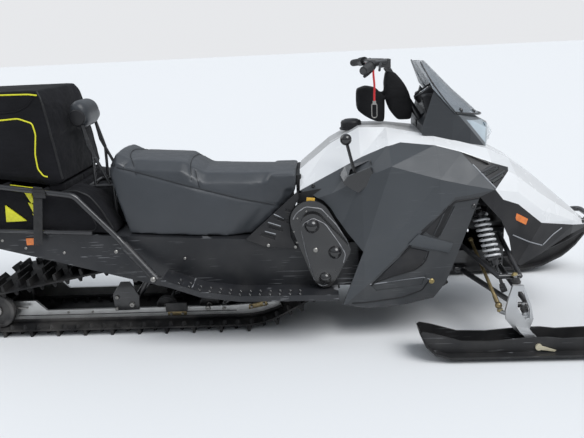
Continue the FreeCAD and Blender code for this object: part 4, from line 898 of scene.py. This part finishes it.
def sewn(node, name, look, body, voxel, inward, swell, press, hold, crease=0.5, rounds=3, more=None):
    """A cover over foam in a node's shape, held along its edges and swollen between them."""
    bm = bmesh.new()
    bm.from_mesh(frame["nodes"][node].data)
    bmesh.ops.remove_doubles(bm, verts=bm.verts, dist=2e-5)
    rim = []
    for edge in bm.edges:
        if len(edge.link_faces) == 2 and edge.calc_face_angle(0) > crease:
            rim += spaced(edge.verts[0].co, edge.verts[1].co, 0.006)
    if more is not None:
        bm = gather([bm, more])
    block = bpy.data.meshes.new(name + "_block")
    bm.to_mesh(block)
    bm.free()
    mould = put(name + "_mould", block)
    fine = mould.modifiers.new("fine", "REMESH")
    fine.mode = "VOXEL"
    fine.voxel_size = voxel
    bpy.context.view_layer.update()
    mesh = bpy.data.meshes.new_from_object(mould.evaluated_get(bpy.context.evaluated_depsgraph_get()))
    bpy.data.objects.remove(mould)
    tree = tree_of(rim or [Vector((9, 9, 9))])
    held = [tree.find(v.co)[2] for v in mesh.vertices]
    bm = bmesh.new()
    bm.from_mesh(mesh)
    for vert in bm.verts:
        vert.co -= vert.normal * inward
    for _ in range(rounds):
        bmesh.ops.smooth_vert(bm, verts=bm.verts, factor=0.5, use_axis_x=True, use_axis_y=True,
            use_axis_z=True)
    bm.to_mesh(mesh)
    bm.free()
    mesh.name = name
    obj = put(name, mesh)
    group = obj.vertex_groups.new(name="held")
    for k, gap in enumerate(held):
        group.add([k], max(0.0, min(1.0, 1.6 - gap / hold)), "REPLACE")
    cloth = obj.modifiers.new("cloth", "CLOTH")
    cloth.settings.vertex_group_mass = "held"
    cloth.settings.use_pressure = True
    cloth.settings.uniform_pressure_force = press
    cloth.settings.effector_weights.gravity = 0.0
    cloth.settings.quality = 4
    cloth.settings.tension_stiffness = 25.0
    cloth.settings.compression_stiffness = 25.0
    cloth.settings.bending_stiffness = 2.0
    cloth.point_cache.frame_start = 1
    cloth.point_cache.frame_end = CLOTH_STEPS
    for step in range(1, CLOTH_STEPS + 1):
        scene.frame_set(step)
    puffed = obj.evaluated_get(bpy.context.evaluated_depsgraph_get()).data
    moved = [v.co.copy() for v in puffed.vertices]
    obj.modifiers.remove(cloth)
    obj.vertex_groups.clear()
    for vert, spot in zip(mesh.vertices, moved):
        shift = spot - vert.co
        if shift.length > swell:
            shift *= swell / shift.length
        vert.co += shift
    scene.frame_set(1)
    mesh.materials.clear()
    mesh.materials.append(look)
    mesh.shade_smooth()
    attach(obj, body)
    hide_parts(node)
    return obj


def groove(obj, lines, width, depth):
    """Presses sewn lines into a cover; each line is a list of points on it."""
    tree = tree_of([spot for line in lines for start, end in zip(line, line[1:])
        for spot in spaced(start, end, 0.003)])
    for vert in obj.data.vertices:
        gap = tree.find(vert.co)[2]
        if gap < width:
            vert.co -= vert.normal * depth * (1 - (gap / width) ** 2)


def on_side(obj, rows):
    """The same line of x and z on each side of a piece, as points on its surface."""
    bpy.context.view_layer.update()
    lines = []
    for side in (-1, 1):
        line = [touch(obj, x, z, side) for x, z in along_path(rows)]
        lines.append([spot for spot in line if spot is not None])
    return lines


def smoother(obj):
    finer = obj.modifiers.new("finer", "SUBSURF")
    finer.levels = 1
    finer.render_levels = 1


vinyl = finish("seat_vinyl", (0.046, 0.051, 0.058), 0.36, tone=0.06, patch=6.0, hide=0.35,
    folds=0.06, dust=0.05, sheen=0.03)
stitch = finish("dark_thread", (0.012, 0.012, 0.013), 0.7, tone=0.2, patch=90.0, grain=0.4)
# The foam's nose fills the corner down to the white cover, square to the sledge.
SEAT_NOSE = ((-0.145, 0.464), (-0.099, 0.464), (0.03, 0.572), (0.1165, 0.66), (0.1165, 0.736), (0.0, 0.736))
NOSE_HALF, NOSE_LEAN, NOSE_LEANS_FROM = 0.205, 0.1, 0.5
nose = bmesh.new()
face = nose.faces.new([nose.verts.new((x, NOSE_LEAN * max(0.0, z - NOSE_LEANS_FROM) - NOSE_HALF, z))
    for x, z in SEAT_NOSE])
bmesh.ops.scale(nose, vec=(1, -1, 1), verts=points_of(bmesh.ops.extrude_face_region(nose, geom=[face])))
bmesh.ops.recalc_face_normals(nose, faces=nose.faces)
seat = sewn("seat", "seat_cover", vinyl, "chassis", 0.009, 0.003, 0.008, 3.0, 0.012, more=nose)
SEAT_SIDE_SEAM = ((-0.73, 0.8), (-0.709, 0.798), (-0.635, 0.78), (-0.484, 0.736), (-0.312, 0.683),
    (-0.136, 0.632), (0.009, 0.595), (0.04, 0.588))
SEAT_ROLL_SEAM = ((-0.6, 0.85), (-0.633, 0.822), (-0.66, 0.79))
SEAT_MIDDLE_SEAM = ((-0.35, 0.8), (-0.345, 0.783), (-0.318, 0.69))
seat_lines = on_side(seat, SEAT_SIDE_SEAM) + on_side(seat, SEAT_MIDDLE_SEAM) + on_side(seat, SEAT_ROLL_SEAM)
for x_middle, x_side in (
        # x of a seam over the top, in the middle and at its sides
        (-0.372, -0.352), (-0.66, -0.6)):
    across = [drop(seat, x_side + (x_middle - x_side) * (1 - (k / 8) ** 2), 0.2 * k / 8)
        for k in range(-8, 9)]
    seat_lines.append([spot for spot in across if spot is not None])
groove(seat, seat_lines, 0.011, 0.0035)
smoother(seat)
bpy.context.view_layer.update()
for k, line in enumerate(seat_lines):
    if len(line) > 2:
        tube("seat_thread_%d" % k, line, 0.0011, stitch)


# The dark pod on the hood carries the gauge, the screen and the headlight.
plate("dash_cowl", ((0.735, 0.9), (0.722, 0.935), (0.692, 1.0), (0.678, 1.04), (0.7, 1.052), (0.765, 1.052),
    (0.792, 1.0), (0.806, 0.9)), 0.0, 0.128, black_plastic, edge=0.008, segments=3)
DIAL_AT, DIAL_WAY = Vector((0.722, 0.0, 1.048)), Vector((-0.55, 0, 0.83))
chrome = finish("bright_ring", (0.72, 0.73, 0.74), 0.14, tone=0.03, metal=1.0)
dial_glass = finish("dial_glass", (0.02, 0.022, 0.026), 0.1, tone=0.2, patch=30.0, coat=1.0)
dial_mark = finish("dial_mark", (0.75, 0.76, 0.76), 0.5, tone=0.05, patch=60.0)
for name, profile, look in (
        # name, radius and height of its profile, finish
        ("gauge_hood", ((0.064, -0.012), (0.064, 0.012), (0.06, 0.022), (0.054, 0.024), (0.052, 0.012),
         (0.0, 0.012)), black_plastic),
        ("gauge_ring", ((0.0525, 0.012), (0.0525, 0.017), (0.0475, 0.0165), (0.0465, 0.013)), chrome),
        ("gauge_face", ((0, 0.0145), (0.03, 0.0142), (0.0465, 0.0132), (0.0465, 0.011), (0, 0.011)),
         dial_glass)):
    piece(name, turned(profile, DIAL_AT, DIAL_WAY, 44), look)
TICK_OUT, TICK_UP, TICK_WIDE, TICK_THICK = 0.041, 0.0146, 0.0014, 0.0008
ticks = []
for k in range(19):
    long = 0.009 if k % 3 == 0 else 0.005
    bm = bmesh.new()
    bmesh.ops.create_cube(bm, size=1.0)
    bmesh.ops.scale(bm, vec=(long, TICK_WIDE, TICK_THICK), verts=bm.verts)
    bmesh.ops.translate(bm, vec=(TICK_OUT - long / 2, 0, TICK_UP), verts=bm.verts)
    bmesh.ops.rotate(bm, verts=bm.verts, cent=(0, 0, 0), matrix=Matrix.Rotation(math.radians(15 * k - 135), 3,
        "Z"))
    bmesh.ops.transform(bm, matrix=aimed(DIAL_AT, DIAL_WAY), verts=bm.verts)
    ticks.append(bm)
piece("gauge_ticks", gather(ticks), dial_mark)

# The windscreen is one sheet of smoked acrylic on push pegs, with a dark moulding along its edges.
# The pane's grey is lighter than smoked acrylic: partly its own tint, partly painted reflection of the sky.
smoked_and_painted_reflection = finish("smoked_acrylic_painted_reflection", (0.27, 0.3, 0.33), 0.1, tone=0.02, coat=0.8)
smoked_and_painted_reflection.node_tree.nodes["Principled BSDF"].inputs["Alpha"].default_value = 0.6
screen = softened("windshield", "screen", smoked_and_painted_reflection, 0.0012)
bpy.context.view_layer.update()
SCREEN_ROWS = (
    # edge x, centre x, edge z, centre z, half width, from the foot up
    (0.812, 0.96, 0.9726, 0.944, 0.2), (0.716, 0.83, 1.08, 1.062, 0.205), (0.668, 0.702, 1.19, 1.192, 0.15))
for side, label in SIDES:
    edge_line = [(x, side * half, z + 0.002) for x, _, z, _, half in SCREEN_ROWS]
    tube("screen_moulding_" + label, edge_line, 0.0028, gloss_black)
x0, x1, z0, z1, half = SCREEN_ROWS[0]
foot_arc = [(x0 + (x1 - x0) * (1 - (k / 6) ** 2), half * k / 6, z0 + (z1 - z0) * (1 - (k / 6) ** 2) + 0.003)
    for k in range(-6, 7)]
tube("screen_foot_moulding", foot_arc, 0.0045, gloss_black)
PEG = ((0, 0.006), (0.007, 0.006), (0.01, 0.003), (0.01, -0.006), (0, -0.006))
PEGS_BACK = 0.02
pegs = []
for across in (-0.82, -0.45, 0.45, 0.82):
    spot = drop(screen, x0 + (x1 - x0) * (1 - across * across) - PEGS_BACK, half * across)
    if spot is not None:
        pegs.append(turned(PEG, spot, (0.62, 0.25 * across, 0.75), 18))
piece("screen_pegs", gather(pegs), gloss_black)

# The headlight is one clear lens over two bright bowls.
lens_clear = finish("clear_lens", (0.74, 0.8, 0.83), 0.07, tone=0.03, patch=20.0, coat=1.0)
lens_clear.node_tree.nodes["Principled BSDF"].inputs["Transmission Weight"].default_value = 0.35
softened("headlight", "headlight_lens", lens_clear, 0.004, 3)
low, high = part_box("headlight")
BOWL = ((0, 0.0), (0.012, 0.002), (0.024, 0.009), (0.032, 0.02), (0.034, 0.02), (0.034, -0.002), (0, -0.004))
bowls = [turned(BOWL, (low[0] + 0.008, side * 0.052, (low[2] + high[2]) / 2), (1, 0, 0.1), 32)
    for side in (-1, 1)]
piece("headlight_bowls", gather(bowls), chrome)

# On each cheek the clear lens runs back over the pod, and a slanting grey frame ends it.
lamp_glass = finish("lamp_glass", (0.46, 0.54, 0.59), 0.08, tone=0.12, patch=9.0, coat=1.0)
frame_grey = finish("lamp_frame", (0.15, 0.16, 0.17), 0.4, tone=0.05, grain=0.15)
LAMP_EDGES = (
    # x and z of a point on the edge, x and z of the way across it into the lens
    (0.808, 0.984, 0.758, 0.652), (0.817, 0.992, 0.758, 0.652), (0.84, 0.945, -0.171, -0.985))
LAMP_REAR = 0.8


def lamp_part(middle):
    inside = [(middle.x - x) * across_x + (middle.z - z) * across_z > 0
        for x, z, across_x, across_z in LAMP_EDGES]
    return (2 if all(inside) else 1) if inside[0] and middle.x > LAMP_REAR else 0


repainted(shells["dash_pod_shell"], [((x, 0, z), (across_x, 0, across_z))
    for x, z, across_x, across_z in LAMP_EDGES], [frame_grey, lamp_glass], lamp_part)


# The handlebar is bent black tube on a leaning post. Each end has a ribbed rubber grip and a
# moulded switch block, with a brake lever on the left and a thumb throttle on the right.
wear(black_steel, "handlebar")
wear(black_plastic, "bar_controls")
grip_rubber = finish("grip_rubber", (0.03, 0.031, 0.033), 0.58, tone=0.12, patch=40.0,
    grain=0.25, grain_size=700, dust=0.1)
BAR_KNEE, BAR_END = Vector((0.47, 0.17, 1.196)), Vector((0.405, 0.43, 1.178))
GRIP_FROM, GRIP_TO = 0.2945, 0.4195
grip_start = BAR_KNEE.lerp(BAR_END, (GRIP_FROM - BAR_KNEE.y) / (BAR_END.y - BAR_KNEE.y))
grip_long = (GRIP_TO - GRIP_FROM) / (BAR_END - BAR_KNEE).normalized().y
RIBS, RIB_PITCH, RIBS_FROM = 14, 0.0078, 0.011
rib_rows = [(0.0112, 0.0), (0.0195, 0.0), (0.0205, 0.003), (0.0195, 0.007), (0.0165, 0.009)]
for k in range(RIBS):
    foot = RIBS_FROM + k * RIB_PITCH
    rib_rows += [(0.0157, foot), (0.0172, foot + 0.0012), (0.0172, foot + 0.0048), (0.0157, foot + 0.0062)]
rib_rows += [(0.017, grip_long - 0.006), (0.0165, grip_long - 0.001), (0.014, grip_long + 0.001),
    (0, grip_long + 0.001)]
piece("grip_sleeves", turned(rib_rows, grip_start, BAR_END - BAR_KNEE, 28), grip_rubber, "handlebar",
    replaces=("grips",), mirrored=True)
lever_metal = finish("lever_metal", (0.3, 0.31, 0.32), 0.32, patch=20.0, metal=0.9,
    grain=0.1)
tube("brake_lever", [(0.478, 0.232, 1.19), (0.502, 0.262, 1.186), (0.492, 0.33, 1.183), (0.47, 0.4, 1.178),
    (0.47, 0.412, 1.178)], 0.0058, lever_metal, "handlebar")
tube("throttle_paddle", [(0.452, -0.262, 1.172), (0.436, -0.276, 1.158), (0.418, -0.3, 1.15)], 0.0065, nylon,
    "handlebar")
red_button = finish("red_button", (0.55, 0.02, 0.02), 0.35, patch=60.0)
BUTTON = ((0, 0.008), (0.006, 0.008), (0.008, 0.006), (0.008, -0.004), (0, -0.004))
piece("stop_button", gather([turned(BUTTON, (0.432, -0.262, 1.194), (-1, 0, 0.35), 20)]), red_button,
    "handlebar")

# A padded black fabric muff hangs round the post in two lobes.
muff_cloth = finish("muff_cloth", (0.01, 0.01, 0.011), 0.72, tone=0.15, patch=9.0, weave=0.35,
    folds=0.45, sheen=0.03, shine=0.15)
muff = sewn("post_muff", "post_muff_cover", muff_cloth, "handlebar", 0.005, 0.001, 0.012, 6.0, 0.006,
    crease=3.0, rounds=14)
smoother(muff)


# The rack is black round tube, bent and welded, in moulded sleeves at its feet.
wear(black_steel, "rack")
worn_black = finish("worn_plastic", (0.022, 0.022, 0.024), 0.34, tone=0.2, patch=12.0,
    marks=0.35, grain=0.1, dust=0.1)
softened("rack_feet", "rack_sleeves", worn_black, 0.003, 3)
heads("rack_bolts", [(-0.52, 0.394, 0.33, 0.012, 0.007), (-0.668, 0.392, 0.462, 0.008, 0.005)], zinc)

# Two black nylon bags, one on the rack's cross tubes and one under them, have yellow piping and
# reflective patches. They are stiffened with foam sheet, so their panels bulge between the seams.
bag_nylon = finish("bag_nylon", (0.009, 0.009, 0.011), 0.72, tone=0.25, patch=7.0, weave=0.3,
    folds=0.4, sheen=0.02, dust=0.04, shine=0.15)
yellow = finish("yellow_piping", (0.72, 0.7, 0.03), 0.45, tone=0.08, patch=60.0, weave=0.4)
bag_upper = sewn("bag_upper", "bag_upper_cover", bag_nylon, "chassis", 0.01, 0.006, 0.012, 4.0, 0.014)
bag_lower = sewn("bag_lower", "bag_lower_cover", bag_nylon, "chassis", 0.01, 0.006, 0.008, 3.0, 0.014)
FRONT_SEAM_Z = 0.946
front_seam = []
for k in range(-10, 11):
    hit, spot, _, _ = bag_upper.ray_cast(Vector((-0.5, 0.024 * k, FRONT_SEAM_Z)), Vector((-1, 0, 0)))
    if hit:
        front_seam.append(spot)
LOWER_PANEL = ((-0.975, 0.69), (-0.88, 0.672), (-0.819, 0.62), (-0.79, 0.544), (-0.802, 0.521),
    (-0.999, 0.528), (-1.3, 0.54), (-1.44, 0.55))
TOP_PIPING = ((-1.47, 1.135), (-1.3, 1.137), (-1.136, 1.136), (-1.02, 1.134), (-0.985, 1.128))
POCKET_PIPING = ((-1.44, 0.8), (-1.45, 0.9), (-1.42, 0.975), (-1.35, 1.015), (-1.25, 1.026), (-1.153, 1.03),
    (-1.08, 1.034), (-1.02, 1.011), (-1.01, 0.963), (-1.024, 0.876), (-1.022, 0.81), (-1.0, 0.775),
    (-0.983, 0.774))
FLAP_EDGE = ((-1.47, 1.08), (-1.3, 1.07), (-1.147, 1.06), (-1.08, 1.064), (-1.033, 1.084), (-1.001, 1.12))
bag_lines = on_side(bag_upper, FLAP_EDGE) + on_side(bag_upper, POCKET_PIPING) + [front_seam]
groove(bag_upper, bag_lines, 0.013, 0.004)
groove(bag_lower, on_side(bag_lower, LOWER_PANEL), 0.012, 0.004)
smoother(bag_upper)
smoother(bag_lower)
plate("bag_base_strip", ((-0.99, 0.702), (-0.915, 0.702), (-0.915, 0.738), (-0.99, 0.738)), 0.0, 0.23,
    bag_nylon, edge=0.006, segments=3)
for on, rows, label, radius, look in (
        # cover, its points in x and z, name, radius, finish
        (bag_upper, TOP_PIPING, "top_piping", 0.0035, yellow),
        (bag_upper, POCKET_PIPING, "pocket_piping", 0.0035, yellow),
        (bag_upper, FLAP_EDGE, "flap_binding", 0.004, bag_nylon),
        (bag_lower, LOWER_PANEL, "panel_seam", 0.0022, stitch)):
    for line, (_, side) in zip(on_side(on, rows), SIDES):
        tube(label + "_" + side, line, radius, look)


def bound(name, on, points, radius, look):
    """A binding sewn over an edge of a cover, on its surface nearest each point, on both sides."""
    for side, label in SIDES:
        spots = []
        for start, end in zip(points, points[1:]):
            spots += spaced(Vector(start), Vector(end), 0.03, 2)[:None if end == points[-1] else -1]
        tube(name + "_" + label, [on.closest_point_on_mesh(spot * Vector((1, side, 1)))[1] for spot in spots],
            radius, look)


binding = finish("edge_binding", (0.006, 0.006, 0.007), 0.45, tone=0.2, patch=60.0, weave=0.6,
    shine=0.5)
bpy.context.view_layer.update()
for name, on, radius, points in (
        # name, cover, radius, points along the edge on the left side
        ("front_edge_binding", bag_upper, 0.0045, ((-0.985, 0.226, 1.158), (-0.962, 0.24, 1.12),
         (-0.938, 0.25, 0.98), (-0.908, 0.256, 0.765))),
        ("top_edge_binding", bag_upper, 0.0045, ((-0.985, 0.226, 1.158), (-1.23, 0.226, 1.158),
         (-1.48, 0.226, 1.158))),
        ("rear_edge_binding", bag_upper, 0.0045, ((-1.48, 0.226, 1.158), (-1.5, 0.24, 1.12),
         (-1.512, 0.25, 0.98), (-1.49, 0.25, 0.8))),
        ("lower_front_binding", bag_lower, 0.004, ((-0.93, 0.262, 0.714), (-0.867, 0.262, 0.719),
         (-0.803, 0.262, 0.69), (-0.764, 0.262, 0.638), (-0.706, 0.262, 0.53)))):
    bound(name, on, points, radius, binding)
LOWER_SIDE = 0.262
PATCHES = (
    # x and z of each patch's corners
    ((-1.15, 0.748), (-1.024, 0.727), (-1.024, 0.719), (-1.15, 0.74)),
    ((-1.188, 0.655), (-1.102, 0.58), (-1.195, 0.578)),
    ((-1.092, 0.712), (-1.066, 0.712), (-1.052, 0.668), (-1.066, 0.658)),
    ((-1.082, 0.664), (-1.06, 0.655), (-1.047, 0.615), (-1.06, 0.604)),
    ((-1.07, 0.612), (-1.054, 0.6), (-1.038, 0.56), (-1.05, 0.552)))
for k, rows in enumerate(PATCHES):
    plate("yellow_patch_%d" % k, rows, LOWER_SIDE - 0.003, LOWER_SIDE + 0.0055, yellow, edge=0.0008)

# Flat black webbing with a ladder buckle straps the bags to the rack on each side.
webbing = finish("strap_webbing", (0.018, 0.018, 0.019), 0.7, tone=0.2, patch=50.0,
    weave=0.8, sheen=0.1)
softened("bag_straps", "bag_webbing", webbing, 0.0008)
STRAP_SIDE = 0.3065
plate("strap_buckles", ((-1.036, 0.735), (-0.98, 0.727), (-0.978, 0.69), (-1.034, 0.697)), STRAP_SIDE - 0.002,
    STRAP_SIDE + 0.005, nylon, 0.0025)
plate("buckle_bars", ((-1.03, 0.721), (-0.984, 0.715), (-0.984, 0.708), (-1.03, 0.714)), STRAP_SIDE + 0.004,
    STRAP_SIDE + 0.008, nylon, 0.0015)

# The backrest is a small vinyl pad on a forked tube frame that stands on the lower bag.
wear(black_steel, "backrest_frame")
pad_vinyl = finish("pad_vinyl", (0.036, 0.04, 0.046), 0.38, tone=0.08, patch=14.0, hide=0.3,
    folds=0.05, sheen=0.03)
backrest = sewn("backrest_pad", "backrest_cushion", pad_vinyl, "chassis", 0.005, 0.0, 0.01, 5.0, 0.004,
    crease=3.0, rounds=90)
smoother(backrest)
piece("backrest_disc", turned(((0, 0.01), (0.02, 0.01), (0.034, 0.006), (0.038, 0.0), (0.038, -0.008),
    (0, -0.008)), (-0.872, 0.104, 1.012), (0, 1, 0), 28), black_plastic, mirrored=True)

# The tail lamp is a red ribbed lens in a black housing, over the tow hitch and the snow flap,
# which is a sheet of black rubber with moulded ribs.
red_lens = finish("red_lens", (0.5, 0.012, 0.015), 0.14, tone=0.15, patch=40.0, coat=0.8,
    grain=0.5, grain_size=300)
softened("tail_lamp", "tail_lamp_lens", red_lens, 0.004, 3)
low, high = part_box("tail_lamp")
plate("tail_lamp_rims", ((low[0] + 0.012, high[2] + 0.001), (high[0], high[2] + 0.001),
    (high[0], low[2] - 0.001), (low[0] + 0.012, low[2] - 0.001)), high[1] - 0.006, high[1] + 0.004,
    black_plastic, edge=0.003)
wear(black_steel, "tow_hitch")
flap_rubber = finish("flap_rubber", (0.02, 0.02, 0.021), 0.58, tone=0.2, patch=6.0,
    grain=0.25, grain_size=300, marks=0.15, dust=0.35)
softened("snow_flap", "flap_sheet", flap_rubber, 0.003)
